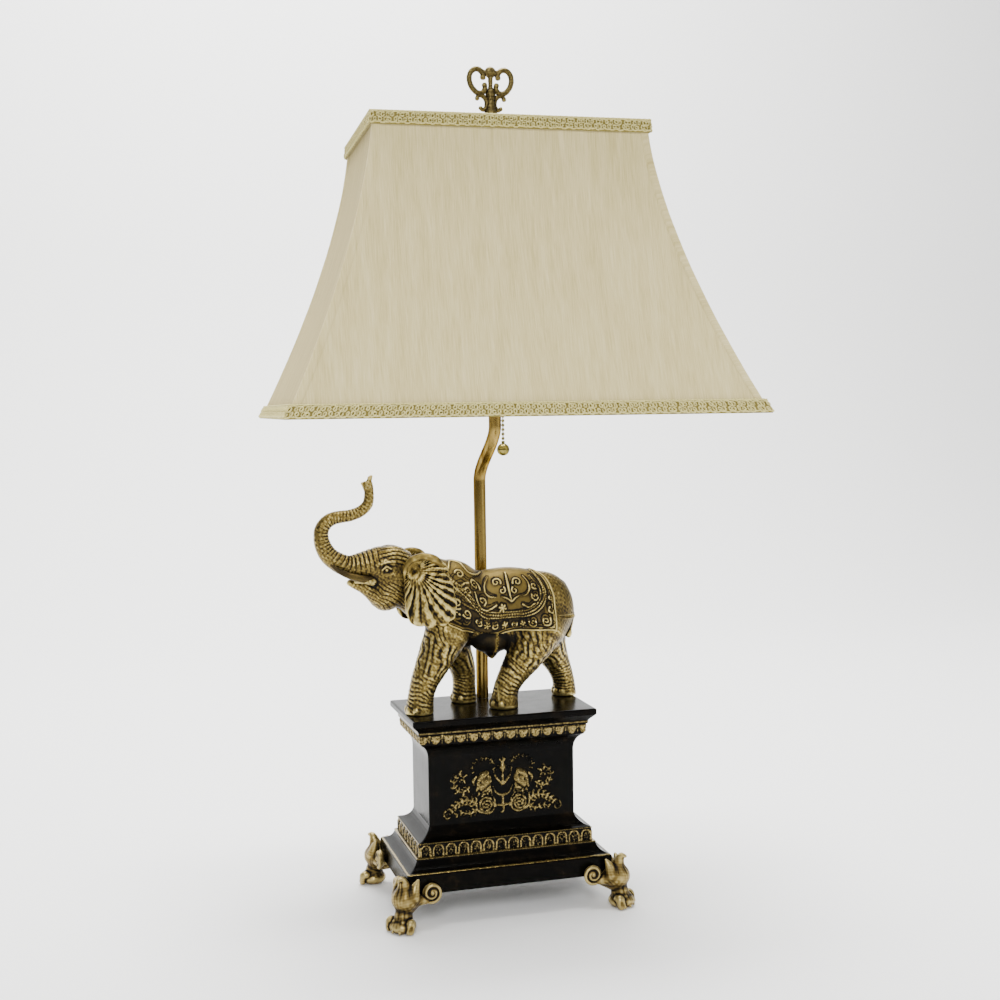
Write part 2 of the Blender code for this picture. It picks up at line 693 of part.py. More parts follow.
def bulb(paint):
    cap = [
        (0.0118, 0.5262),
        (0.0132, 0.5250),
        (0.0130, 0.5060),
        (0.0085, 0.5020),
        (0.0046, 0.5008),
        (0.0040, 0.4992),
        (0, 0.4990),
    ]
    finish(turned("bulb_cap", [(0, 0.5262), *cap]), paint["steel"])
    outer = [
        (0, 0.6150),
        (0.0115, 0.6128),
        (0.0210, 0.6062),
        (0.0275, 0.5962),
        (0.0299, 0.5850),
        (0.0285, 0.5730),
        (0.0240, 0.5610),
        (0.0185, 0.5490),
        (0.0148, 0.5370),
        (0.0134, 0.5266),
    ]
    wall = 0.0009
    inner = [(max(r - wall, 0), z - (wall if r < 0.02 and z > 0.6 else 0)) for r, z in outer]
    finish(turned("bulb_glass", outer + inner[::-1], closed=True), paint["glass"])


# ---------------------------------------------------------------- pull chain


def bead_profile(top, count, pitch=0.004, radius=0.0016, link=0.0005):
    """Beads on a link wire, from the top down, as one turned outline."""
    outline = [(0, top + 0.0004), (link, top + 0.0004)]
    for bead in range(count):
        middle = top - radius - bead * pitch
        for angle in (62, 0, -62):
            a = math.radians(angle)
            outline.append((radius * math.cos(a), middle + radius * math.sin(a)))
    last = top - 2 * radius - (count - 1) * pitch
    return outline + [(link, last - 0.0004), (0, last - 0.0004)]


def pull_chain(paint):
    """Two beads in the guide, one that swings sideways, the beads that hang from it, and the ball."""
    place = (0, CHAIN_Y, 0)
    finish(turned("chain_lead", bead_profile(0.4905, 2), place, steps=6), paint["brass"])
    joint_bead = bead_profile(CHAIN_SIDE_PIVOT - 0.0008, 1)
    finish(turned("chain_joint_bead", joint_bead, place, steps=6), paint["brass"])
    hanging = bead_profile(CHAIN_FORE_PIVOT - 0.0008, 13)
    finish(turned("pull_chain", hanging, place, steps=6), paint["brass"])
    end = hanging[-1][1] - GAP
    ball_radius = 0.0056
    ball = [(0, end), (0.0014, end)]
    ball += [(r, BALL_CENTRE + h) for r, h in round_points(ball_radius, 72, -72, 7)]
    ball.append((0, BALL_CENTRE - ball_radius))
    finish(turned("pull_ball", ball, place, steps=14), paint["brass"])


# ---------------------------------------------------------------- harp and finial


def harp(paint):
    """The wire bow that carries the shade, its two locking ferrules, and the stud on top."""
    widest, foot, steps = 0.0560, 0.4745, 9
    side = [(HARP_LEG_X, foot), (HARP_LEG_X, 0.4950)]
    side += [(0.0345, 0.5040), (0.0440, 0.5160), (0.0520, 0.5290)]
    side += [(widest, 0.5460), (0.0568, 0.5700), (0.0550, 0.6000), (0.0500, 0.6300)]
    side += [(0.0420, 0.6550), (0.0310, 0.6740)]
    arch = round_points(0.0250, 40, 90, steps, (0, HARP_TOP - 0.0250))[1:]
    right = side + arch
    left = [(-x, z) for x, z in reversed(right[:-1])]
    path = [(x, 0, z) for x, z in right + left]
    bow = wire("harp_wire", path, 0.0016)
    finish(bow, paint["brass"], smooth=60)
    for name, sign in (("left", -1), ("right", 1)):
        ferrule = turned(
            f"harp_ferrule_{name}",
            [
                (0.0036, 0.4790),
                (0.0040, 0.4782),
                (0.0040, 0.4650),
                (0.0036, 0.4640),
                (0.0022, 0.4640),
                (0.0022, 0.4790),
            ],
            (sign * HARP_LEG_X, 0, 0),
            steps=16,
            closed=True,
        )
        finish(ferrule, paint["brass"])
    stud = [
        (0, 0.7070),
        (0.0026, 0.7070),
        (0.0031, 0.7060),
        (0.0031, 0.6944),
        (0.0070, 0.6944),
        (0.0070, 0.6930),
        (0.0050, 0.6895),
        (0, 0.6895),
    ]
    finish(turned("harp_stud", stud, steps=20), paint["brass"])


def finial(paint):
    """A flat scroll of two loops over a leafy foot, turned up on a round neck."""
    centre = 0.7425

    def mirrored(points, radii):
        for sign in (-1, 1):
            yield wire("scroll", [(sign * x, 0, z) for x, z in points], MM, radii=radii)

    loop = round_points(0.0093, 205, -90, 12, (0.0118, centre + 0.0045))
    loop += [(0.0040, centre - 0.0052), (0.0022, centre - 0.0010)]
    brace = [(0.0120, centre - 0.0085), (0.0078, centre - 0.0088), (0.0052, centre - 0.0130)]
    brace += [(0.0052, centre - 0.0180), (0.0082, centre - 0.0218)]
    pieces = [*mirrored(loop, [0.0018] * 3 + [0.0026] * (len(loop) - 3))]
    pieces += [*mirrored(brace, [0.0018, 0.0021, 0.0022, 0.0021, 0.0017])]
    pieces.append(ellipsoid("bud", (0, 0, centre + 0.0155), (0.0042, 0.0034, 0.0040)))
    spine = [(0, 0, centre + 0.014), (0, 0, centre - 0.004), (0, 0, centre - 0.024)]
    pieces.append(wire("spine", spine, MM, radii=[0.0020, 0.0026, 0.0044]))
    pieces.append(ellipsoid("leaf", (0, 0, centre - 0.0140), (0.0050, 0.0036, 0.0090)))
    pieces.append(rod("collar", (0, 0, 0.7180), 0.0062, 0.0040))
    pieces.append(rod("neck", (0, 0, 0.7080), 0.0058, 0.0226, far_radius=0.0046))
    scroll = grown_together("finial", pieces, voxel=0.0008, share=0.042, smoothing=1)
    foot = box("under_foot", (-0.02, -0.02, 0.680), (0.02, 0.02, 0.6967))
    thread = rod("finial_thread", (0, 0, 0.7025), 0.0035, 0.013, sides=16)
    finish(cut(scroll, foot, thread), paint["brass"], smooth=50)


# ---------------------------------------------------------------- shade


def shade_half(height, inset=0.0):
    """Half width and half depth of the shade's outer face at a height, drawn in by inset."""
    drop = (SHADE_TOP - height) / (SHADE_TOP - SHADE_BOTTOM)
    share = math.copysign(abs(drop) ** SHADE_FLARE, drop)
    return tuple(
        top + (bottom - top) * share - inset
        for top, bottom in zip(SHADE_TOP_HALF, SHADE_BOTTOM_HALF)
    )


def heights(low, high, count):
    return [low + (high - low) * i / (count - 1) for i in range(count)]


def strip_shell(name, rows, thickness, closed=False):
    """A shell from rows of points: an open surface given its thickness on the inner side."""
    columns = len(rows[0])
    span = columns if closed else columns - 1
    faces = [
        (
            row * columns + column,
            row * columns + (column + 1) % columns,
            (row + 1) * columns + (column + 1) % columns,
            (row + 1) * columns + column,
        )
        for row in range(len(rows) - 1)
        for column in range(span)
    ]
    mesh = bpy.data.meshes.new(name)
    mesh.from_pydata([point for row in rows for point in row], [], faces)
    obj = new_object(name, mesh)
    solid = obj.modifiers.new("thickness", "SOLIDIFY")
    solid.thickness = thickness
    solid.offset = -1
    solid.use_even_offset = True
    return applied(obj)


def shade_loop(name, low, high, inset, thickness, count):
    """A four-sided band right round the shade."""
    rows = []
    for height in heights(low, high, count):
        rows.append([(x, y, height) for x, y in corners_of(*shade_half(height, inset))])
    return strip_shell(name, rows, thickness, closed=True)


PANEL_EDGE = 0.0022  # a panel stops this short of the corner
TAPE_WIDTH = 0.0065
LEVELS = 9


def shade_panels(paint, axis):
    """The four cloth panels. Each runs from corner to corner of one side."""
    low, high = SHADE_BOTTOM + 0.0006, SHADE_TOP - 0.0006
    for name, first in zip(("front", "right", "back", "left"), range(4)):
        rows = []
        for height in heights(low, high, LEVELS):
            corners = [Vector((x, y, height)) for x, y in corners_of(*shade_half(height))]
            start, end = corners[first], corners[(first + 1) % 4]
            along_side = (end - start).normalized() * PANEL_EDGE
            rows.append([start + along_side, end - along_side])
        panel = strip_shell(f"shade_panel_{name}", rows, 0.0010)
        finish(panel, paint["linen"], axis)


def corner_tapes(paint, axis):
    """A folded tape over each corner seam."""
    for name, first in zip(CORNER_NAMES, range(4)):
        rows = []
        for height in heights(SHADE_BOTTOM + 0.0006, SHADE_TOP - 0.0006, LEVELS):
            corners = [Vector((x, y, height)) for x, y in corners_of(*shade_half(height, -0.0011))]
            corner = corners[first]
            before = (corners[first - 1] - corner).normalized() * TAPE_WIDTH
            after = (corners[(first + 1) % 4] - corner).normalized() * TAPE_WIDTH
            rows.append([corner + before, corner, corner + after])
        tape = strip_shell(f"corner_tape_{name}", rows, 0.0007)
        finish(tape, paint["linen"], axis)


def rounded_ring(half_width, half_depth, radius, height):
    points = []
    for quarter, (x, y) in enumerate(corners_of(half_width - radius, half_depth - radius)):
        start = 180 + 90 * quarter
        points += [(px, py, height) for px, py in round_points(radius, start, start + 90, 4, (x, y))]
    return points


def shade_frame(paint, axis):
    """Wire rings at the top and bottom and a rib up each corner, between cloth and lining."""
    inset, wire_radius = 0.0034, 0.0014
    for name, height in (("top", SHADE_TOP - 0.0045), ("bottom", SHADE_BOTTOM + 0.0050)):
        ring = rounded_ring(*shade_half(height, inset + 0.0006), 0.003, height)
        finish(wire(f"shade_{name}_ring", ring, wire_radius, cyclic=True), paint["steel"], axis)
    for name, (sx, sy) in zip(CORNER_NAMES, corners_of(1, 1)):
        rib = []
        for height in heights(SHADE_BOTTOM + 0.0085, SHADE_TOP - 0.0080, LEVELS):
            half_width, half_depth = shade_half(height, inset + 0.0014)
            rib.append((sx * half_width, sy * half_depth, height))
        finish(wire(f"shade_rib_{name}", rib, 0.0011), paint["steel"], axis)


def shade_spider(paint, axis):
    """The washer that sits on the harp, with four arms out to the top ring."""
    washer = turned("shade_spider", ring_profile(0.0130, 0.0050, 0.6947, 0.6962), steps=24, closed=True)
    ring_inner = shade_half(SHADE_TOP - 0.0045, 0.0040 + 0.0014 + 2 * GAP)
    ends = [(ring_inner[0], 0), (-ring_inner[0], 0), (0, ring_inner[1]), (0, -ring_inner[1])]
    for x, y in ends:
        near = Vector((x, y, 0)).normalized() * 0.0105
        arm = wire("arm", [(near.x, near.y, 0.69545), (x, y, SHADE_TOP - 0.0045)], 0.0014)
        washer = union(washer, arm)
    finish(washer, paint["brass"], axis)


def shade_trim(paint, axis):
    """Braid round the top and bottom edges."""
    braid, proud = 0.0120, 0.0044
    top = shade_loop("top_gimp", SHADE_TOP - braid, SHADE_TOP + 0.0007, -proud, 0.0020, 3)
    bottom = shade_loop("bottom_gimp", SHADE_BOTTOM - 0.0010, SHADE_BOTTOM + braid, -proud, 0.0020, 3)
    for trim in (top, bottom):
        finish(trim, paint["gimp"], axis)


def shade_lining(paint, axis):
    lining = shade_loop("shade_lining", SHADE_BOTTOM + 0.0010, SHADE_TOP - 0.0100, 0.0068, 0.0007, LEVELS)
    finish(lining, paint["lining"], axis)


# ---------------------------------------------------------------- assembly


def main():
    clear_scene()
    paint = make_materials()
    stand = empty("pedestal_centre", (PEDESTAL_X, 0, 0))
    shade_axis = empty("shade_axis", (0, 0, 0), SHADE_TURN)
    for build in (pedestal, bottom_cover, feet, foot_screws, cord_grommet):
        build(paint, stand)
    for build in (elephant, figure_bolts, stem, harp_saddle, socket, chain_guide):
        build(paint)
    for build in (switch_lever, bulb, pull_chain, harp, finial):
        build(paint)
    for build in (shade_panels, corner_tapes, shade_frame, shade_spider, shade_trim, shade_lining):
        build(paint, shade_axis)


main()
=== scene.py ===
import math
from itertools import product

import bmesh
import bpy
import numpy as np
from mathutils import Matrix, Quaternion, Vector


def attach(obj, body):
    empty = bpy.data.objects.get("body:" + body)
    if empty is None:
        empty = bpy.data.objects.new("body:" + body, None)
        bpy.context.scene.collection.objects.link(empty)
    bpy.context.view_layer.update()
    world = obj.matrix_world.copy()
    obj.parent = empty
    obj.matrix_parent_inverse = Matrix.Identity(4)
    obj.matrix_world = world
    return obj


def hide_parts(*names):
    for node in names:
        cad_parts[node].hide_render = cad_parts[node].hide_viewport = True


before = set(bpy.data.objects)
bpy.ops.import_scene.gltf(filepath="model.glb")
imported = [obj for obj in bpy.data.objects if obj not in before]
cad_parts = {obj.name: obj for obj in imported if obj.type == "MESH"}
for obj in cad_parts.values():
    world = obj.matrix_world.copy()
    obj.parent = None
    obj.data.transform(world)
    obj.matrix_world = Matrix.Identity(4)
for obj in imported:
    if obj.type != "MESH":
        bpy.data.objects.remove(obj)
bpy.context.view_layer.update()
mm = 0.001
print("frame loaded:", len(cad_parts), "CAD nodes")


def linear(hexColour):
    # an sRGB hex colour as linear light, channel by channel, by the standard curve
    channels = [int(hexColour[i:i + 2], 16) / 255 for i in (1, 3, 5)]
    return tuple(c / 12.92 if c < 0.04045 else ((c + 0.055) / 1.055) ** 2.4 for c in channels) + (1.0,)


def addNode(tree, kind, inputs=None, stops=(), **settings):
    # one shader node: settings are its own properties, and an input is a value or a (node, output) link
    node = tree.nodes.new(kind)
    for name, value in settings.items():
        setattr(node, name, value)
    for place, (position, colour) in enumerate(stops):
        ramp = node.color_ramp.elements
        stop = ramp[place] if place < 2 else ramp.new(position)
        stop.position = position
        stop.color = colour
    for socket, value in (inputs or {}).items():
        if isinstance(value, tuple) and isinstance(value[0], bpy.types.Node):
            tree.links.new(value[0].outputs[value[1]], node.inputs[socket])
        else:
            node.inputs[socket].default_value = value
    return node


def newMaterial(name, **surface):
    # a Principled material; each keyword is a socket's name with its spaces left out, and a value or a link
    material = bpy.data.materials.new(name)
    material.use_nodes = True
    tree = material.node_tree
    shader = tree.nodes["Principled BSDF"]
    sockets = {socket.name.replace(" ", ""): socket for socket in shader.inputs}
    for key, value in surface.items():
        sockets[key].default_value = value
    return material, tree, shader


def gridFaces(rows, columns, loopRows=False, loopColumns=False):
    # quads between neighbouring rows and columns of a grid, which may close on itself either way
    r, c = np.meshgrid(
        np.arange(rows if loopRows else rows - 1),
        np.arange(columns if loopColumns else columns - 1),
        indexing="ij",
    )
    nextR, nextC = (r + 1) % rows, (c + 1) % columns
    corners = [r * columns + c, r * columns + nextC, nextR * columns + nextC, nextR * columns + c]
    return np.stack(corners, -1).reshape(-1, 4)


def gridBit(points, loopRows=False, loopColumns=False):
    # a grid of points, rows by columns, with the quads between them
    return points.reshape(-1, 3), gridFaces(*points.shape[:2], loopRows, loopColumns)


def smoothPath(knots, count):
    # a Catmull-Rom curve through the knots, read at equal steps of length; extra columns go along
    knots = np.asarray(knots, float)
    padded = np.vstack([2 * knots[0] - knots[1], knots, 2 * knots[-1] - knots[-2]])
    t = np.linspace(0, len(knots) - 1, 6 * count)
    i = np.minimum(t.astype(int), len(knots) - 2)
    u = (t - i)[:, None]
    a, b, c, d = (padded[i + shift] for shift in range(4))
    curve = 0.5 * (
        2 * b + (c - a) * u + (2 * a - 5 * b + 4 * c - d) * u**2 + (3 * b - a - 3 * c + d) * u**3
    )
    length = np.concatenate([[0], np.cumsum(np.linalg.norm(np.diff(curve, axis=0), axis=1))])
    even = np.linspace(0, length[-1], count)
    return np.stack([np.interp(even, length, column) for column in curve.T], -1)


def sweep(path, radius, sides=12, up=(0, 1, 0), flat=1.0, loop=False):
    # a round section carried along a path: point + radius (cos a side + flat sin a up), closed at its ends
    path = np.asarray(path, float)
    radius = np.broadcast_to(np.asarray(radius, float), (len(path),))
    if loop:
        tangent = np.roll(path, -1, 0) - np.roll(path, 1, 0)
    else:
        tangent = np.gradient(path, axis=0)
    tangent /= np.linalg.norm(tangent, axis=1)[:, None]
    side = np.cross(tangent, up)
    side /= np.linalg.norm(side, axis=1)[:, None]
    over = np.cross(side, tangent)
    if not loop:
        path, side, over = (np.vstack([a[:1], a, a[-1:]]) for a in (path, side, over))
        radius = np.concatenate([[0], radius, [0]])
    angle = np.linspace(0, 2 * math.pi, sides, endpoint=False)[None, :, None]
    ring = np.cos(angle) * side[:, None] + flat * np.sin(angle) * over[:, None]
    return gridBit(path[:, None] + radius[:, None, None] * ring, loop, True)


def lathe(profile, centre=(0, 0, 0), steps=64, loop=False):
    # a profile of radius and height turned about a vertical axis
    profile = np.asarray(profile, float)
    angle = np.linspace(0, 2 * math.pi, steps, endpoint=False)
    x = profile[:, :1] * np.cos(angle)
    y = profile[:, :1] * np.sin(angle)
    z = np.repeat(profile[:, 1:2], steps, 1)
    return gridBit(np.stack([x, y, z], -1) + np.array(centre), loop, True)


def hollowness(mesh, rounds):
    # how deep a vertex lies in a hollow: the averaged skin's place less its own, along its normal, in mm
    count = len(mesh.vertices)
    points, normals = np.zeros(count * 3), np.zeros(count * 3)
    mesh.vertices.foreach_get("co", points)
    mesh.vertex_normals.foreach_get("vector", normals)
    edges = np.zeros(len(mesh.edges) * 2, int)
    mesh.edges.foreach_get("vertices", edges)
    a, b = edges.reshape(-1, 2).T
    points = points.reshape(-1, 3)
    share = np.bincount(a, minlength=count) + np.bincount(b, minlength=count)
    average = points.copy()
    for _ in range(rounds):
        average = np.stack(
            [np.bincount(a, c[b], count) + np.bincount(b, c[a], count) for c in average.T], -1
        ) / np.maximum(share, 1)[:, None]
    return ((average - points) * normals.reshape(-1, 3)).sum(1) / mm


def piece(name, bits, material, body="lamp", slot=None, replaces=(), sharp=38, weld=True):
    # one object from its grids laid end to end, its poles welded and its faces turned out
    starts = np.cumsum([0] + [len(points) for points, _ in bits[:-1]])
    points = np.concatenate([points for points, _ in bits])
    faces = sum(((part + start).tolist() for (_, part), start in zip(bits, starts)), [])
    mesh = bpy.data.meshes.new(name)
    mesh.from_pydata(points.tolist(), [], faces)
    work = bmesh.new()
    work.from_mesh(mesh)
    if weld:
        bmesh.ops.remove_doubles(work, verts=work.verts, dist=1e-6)
    bmesh.ops.recalc_face_normals(work, faces=work.faces)
    work.to_mesh(mesh)
    work.free()
    made = bpy.data.objects.new(name, mesh)
    bpy.context.scene.collection.objects.link(made)
    mesh.materials.append(material)
    mesh.shade_smooth()
    mesh.set_sharp_from_angle(angle=math.radians(sharp))
    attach(made, body)
    if replaces:
        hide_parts(*replaces)
    return made


def setAttribute(made, name, values):
    # a number stored on each vertex, for the material to read
    attribute = made.data.attributes.get(name) or made.data.attributes.new(name, "FLOAT", "POINT")
    attribute.data.foreach_set("value", np.asarray(values, np.float32))


def vertexArray(made):
    points = np.zeros(len(made.data.vertices) * 3)
    made.data.vertices.foreach_get("co", points)
    return points.reshape(-1, 3)


def strokeHeight(where, strokes):
    # half-round ridges: the root of the largest r^2 - d^2 over all the strokes' knots (x, y, r)
    knots = np.concatenate(strokes)
    best = np.zeros(len(where))
    for some in np.array_split(np.arange(len(where)), 1 + len(where) * len(knots) // 4000000):
        square = ((where[some, None] - knots[None, :, :2]) ** 2).sum(-1)
        best[some] = np.maximum(0, (knots[:, 2] ** 2 - square).max(1))
    return np.sqrt(best)


# Camera and studio

camera = dict(
    position=(-0.3524, -1.2290, 0.4534),
    target=(0.0039, 0, 0.3692),
    lens=50.07,
    sensor=36,
    roll=-0.76,  # degrees
)
studio = dict(
    sky="#ffffff",
    skyStrength=0.45,
    floor="#fbfbfa",
    # name: place, size, power, aimed at
    lights={
        "keyLight": ((-0.6, -2.0, 1.5), 0.8, 34, (0, 0, 0.35)),
        "fillLight": ((1.7, -1.2, 0.7), 0.7, 9, (0, 0, 0.35)),
        "topLight": ((0.1, 0.3, 2.6), 1.6, 80, (0, 0.3, 0.0)),
        "wallLight": ((0.0, 0.5, 2.6), 1.5, 130, (0, 2.0, 0.7)),
    },
)


def aim(made, place, target, roll=0.0):
    made.location = place
    turn = (Vector(target) - Vector(place)).to_track_quat("-Z", "Y")
    made.rotation_mode = "QUATERNION"
    made.rotation_quaternion = turn @ Quaternion((0, 0, 1), math.radians(roll))


def setUpStudio():
    scene = bpy.context.scene
    data = bpy.data.cameras.new("camera")
    data.lens = camera["lens"]
    data.sensor_width = camera["sensor"]
    made = bpy.data.objects.new("camera", data)
    scene.collection.objects.link(made)
    aim(made, camera["position"], camera["target"], camera["roll"])
    scene.camera = made
    for name, (place, size, power, target) in studio["lights"].items():
        light = bpy.data.lights.new(name, "AREA")
        light.size = size
        light.energy = power
        lamp = bpy.data.objects.new(name, light)
        scene.collection.objects.link(lamp)
        aim(lamp, place, target)
    world = bpy.data.worlds.new("studioAir")
    world.use_nodes = True
    world.node_tree.nodes["Background"].inputs["Color"].default_value = linear(studio["sky"])
    world.node_tree.nodes["Background"].inputs["Strength"].default_value = studio["skyStrength"]
    scene.world = world
    # floor and wall are one sheet: y runs back, then a quarter circle turns it up
    reach, bend = 3.0, 0.8
    angle = np.linspace(0, math.pi / 2, 16)
    y = np.concatenate([[-4.0, 1.2], 1.2 + bend * np.sin(angle), [1.2 + bend]])
    z = np.concatenate([[0, 0], bend * (1 - np.cos(angle)), [4.0]])
    x = np.array([-reach - 1, reach + 1])
    points = np.stack(
        [np.repeat(x[None], len(y), 0), np.repeat(y[:, None], 2, 1), np.repeat(z[:, None], 2, 1)], -1
    )
    mesh = bpy.data.meshes.new("floor")
    verts, faces = gridBit(points)
    mesh.from_pydata(verts.tolist(), [], faces.tolist())
    floor = bpy.data.objects.new("floor", mesh)
    scene.collection.objects.link(floor)
    mesh.shade_smooth()
    paper, _, _ = newMaterial("palePaper", BaseColor=linear(studio["floor"]), Roughness=0.9)
    mesh.materials.append(paper)


setUpStudio()
print("studio ready")


# Finishes


def noiseNode(tree, vector, size, detail, **more):
    # soft random spots about `size` mm across
    inputs = {"Vector": vector, "Scale": 1 / (size * mm), "Detail": detail, **more}
    return addNode(tree, "ShaderNodeTexNoise", inputs)


def mathNode(tree, operation, *values):
    return addNode(tree, "ShaderNodeMath", dict(enumerate(values)), operation=operation)


def rangeNode(tree, value, start=(0.0, 1.0), end=(0.0, 1.0)):
    # a number between the first pair carried over to lie between the second pair
    inputs = {
        "Value": value, "From Min": start[0], "From Max": start[1], "To Min": end[0], "To Max": end[1]
    }
    return addNode(tree, "ShaderNodeMapRange", inputs)


def rampNode(tree, factor, *stops):
    # a colour ramp: its two ends first, and then the stops between them
    stops = [(place, linear(colour)) for place, colour in stops]
    return addNode(tree, "ShaderNodeValToRGB", {"Fac": factor}, stops=stops)


def mixNode(tree, factor, first, second, blend="MIX"):
    inputs = {"Factor": factor, 6: first, 7: second}
    return addNode(tree, "ShaderNodeMix", inputs, data_type="RGBA", blend_type=blend)


def feed(tree, shader, links, height, strength, depth):
    # links outputs to the shader's sockets, with a bump of `depth` mm from a height where there is one
    if height:
        inputs = {"Height": height, "Strength": strength, "Distance": depth * mm}
        links = {**links, "Normal": (addNode(tree, "ShaderNodeBump", inputs), "Normal")}
    for socket, (node, output) in links.items():
        tree.links.new(node.outputs[output], shader.inputs[socket])


def antiqueGold(name, bright, dark, metallic, roughness, low, high, grain=2.2):
    # Metallic gold paint on a casting, then a black wash wiped off the high places: bright and worn on
    # ridges, near black in hollows, which a number stored on each vertex (mm of hollow) tells apart; on
    # the figure's belly pad that number also carries painted shade, where shade falls under the body.
    material, tree, shader = newMaterial(name, Metallic=metallic)
    coords = addNode(tree, "ShaderNodeTexCoord")
    wash = addNode(tree, "ShaderNodeAttribute", attribute_name="wash")
    patches = noiseNode(tree, (coords, "Object"), 9, 4.0)
    speck = noiseNode(tree, (coords, "Object"), grain, 3.0)
    lift = mathNode(tree, "SUBTRACT", (patches, "Fac"), 0.5)
    uneven = mathNode(tree, "MULTIPLY_ADD", (lift, 0), 0.16, (wash, "Fac"))
    specked = mathNode(tree, "MULTIPLY_ADD", (speck, "Fac"), 0.07, (uneven, 0))
    amount = rangeNode(tree, (specked, 0), (low, high))
    tone = rampNode(
        tree, (amount, "Result"), (0.0, bright[0]), (1.0, dark), (0.35, bright[1]), (0.68, bright[2])
    )
    dull = rangeNode(tree, (amount, "Result"), end=(roughness, roughness + 0.25))
    links = {"Base Color": (tone, "Color"), "Roughness": (dull, "Result")}
    feed(tree, shader, links, (speck, "Fac"), 0.25, 0.15)
    return material


def lacquer(name):
    # Black bronze lacquer, brushed on and rubbed to a satin gloss, with faint brown clouds in it; the
    # mouldings' high lines are gilded where the vertices' gilt number says so.
    material, tree, shader = newMaterial(name, SpecularIORLevel=0.04)
    coords = addNode(tree, "ShaderNodeTexCoord")
    gilt = addNode(tree, "ShaderNodeAttribute", attribute_name="gilt")
    cloud = noiseNode(tree, (coords, "Object"), 14, 6.0, Roughness=0.62)
    fine = noiseNode(tree, (coords, "Object"), 1.6, 2.0)
    base = rampNode(tree, (cloud, "Fac"), (0.44, "#050504"), (0.80, "#1e160c"), (0.60, "#0a0805"))
    goldTone = rampNode(tree, (fine, "Fac"), (0.32, "#453a1e"), (0.74, "#9c8a58"))
    worn = mathNode(tree, "MULTIPLY_ADD", (fine, "Fac"), 0.9, (gilt, "Fac"))
    cover = rangeNode(tree, (worn, 0), (0.78, 1.05))
    colour = mixNode(tree, (cover, "Result"), (base, "Color"), (goldTone, "Color"))
    metal = mathNode(tree, "MULTIPLY", (cover, "Result"), 0.85)
    rough = rangeNode(tree, (cloud, "Fac"), end=(0.14, 0.32))
    links = {"Base Color": (colour, 2), "Metallic": (metal, 0), "Roughness": (rough, "Result")}
    feed(tree, shader, links, (cloud, "Fac"), 0.2, 0.4)
    return material


def wornMetal(name, bright, dull, roughness, metallic=1.0, streak=(1, 1, 1), grain=3.0, edge="#ffffff"):
    # Drawn or turned metal: one hue in two tones, with a soft streak along the way it was worked, and a
    # duller reflection towards an edge where the brown coat over it is seen at a slant.
    material, tree, shader = newMaterial(name, Metallic=metallic, SpecularTint=linear(edge))
    coords = addNode(tree, "ShaderNodeTexCoord")
    stretch = addNode(tree, "ShaderNodeMapping", {"Vector": (coords, "Object"), "Scale": streak})
    noise = noiseNode(tree, (stretch, "Vector"), grain, 5.0)
    tone = rampNode(tree, (noise, "Fac"), (0.3, dull), (0.7, bright))
    rough = rangeNode(tree, (noise, "Fac"), end=(roughness - 0.07, roughness + 0.1))
    feed(tree, shader, {"Base Color": (tone, "Color"), "Roughness": (rough, "Result")}, None, 0, 0)
    return material


def dyedSolid(name, light, dark, roughness, grain, depth=0.1):
    # Rubber, fibre board, phenolic and paper: two close tones in a fine grain, with a slight tooth.
    material, tree, shader = newMaterial(name, Roughness=roughness)
    coords = addNode(tree, "ShaderNodeTexCoord")
    noise = noiseNode(tree, (coords, "Object"), grain, 5.0)
    tone = rampNode(tree, (noise, "Fac"), (0.35, dark), (0.65, light))
    feed(tree, shader, {"Base Color": (tone, "Color")}, (noise, "Fac"), 0.4, depth)
    return material


def shadeCloth(name, light, mid, dark, thread=0.62, streak=26.0):
    # Slubbed cotton and linen: fine threads both ways, and thick soft slubs that run up the shade. The
    # UV map is in metres, across and up, so the threads follow the cloth. The thread is drawn a little
    # coarser than a real one, so that it shows.
    material, tree, shader = newMaterial(
        name, Roughness=0.95, SpecularIORLevel=0.08, SheenWeight=0.05, SheenRoughness=0.5
    )
    coords = addNode(tree, "ShaderNodeUVMap", uv_map="cloth")

    def cloud(across, up, detail, **more):
        # noise stretched to spots of so many mm across the cloth and up it
        scale = (1 / (across * mm), 1 / (up * mm), 1)
        axis = addNode(tree, "ShaderNodeMapping", {"Vector": (coords, "UV"), "Scale": scale})
        return noiseNode(tree, (axis, "Vector"), 1 / mm, detail, **more)

    def threads(direction):
        inputs = {
            "Vector": (coords, "UV"),
            "Scale": 1 / (2 * math.pi * thread * mm) * 2,
            "Distortion": 0.4,
            "Detail": 1.0,
            "Detail Scale": 300.0,
        }
        return addNode(tree, "ShaderNodeTexWave", inputs, bands_direction=direction)

    slub = cloud(0.85, streak, 4.0, Roughness=0.65)
    broad = cloud(9, 90, 3.0)
    weave = mathNode(tree, "ADD", (threads("X"), "Fac"), (threads("Y"), "Fac"))
    both = mathNode(tree, "MULTIPLY_ADD", (broad, "Fac"), 0.5, (slub, "Fac"))
    tone = rampNode(tree, (both, 0), (0.50, dark), (0.99, light), (0.74, mid))
    threadTone = rangeNode(tree, (weave, 0), (0.0, 2.0), (0.93, 1.05))
    colour = mixNode(tree, 1.0, (tone, "Color"), (threadTone, "Result"), "MULTIPLY")
    relief = mathNode(tree, "MULTIPLY_ADD", (slub, "Fac"), 1.6, (weave, 0))
    feed(tree, shader, {"Base Color": (colour, 2)}, (relief, 0), 0.35, 0.12)
    return material


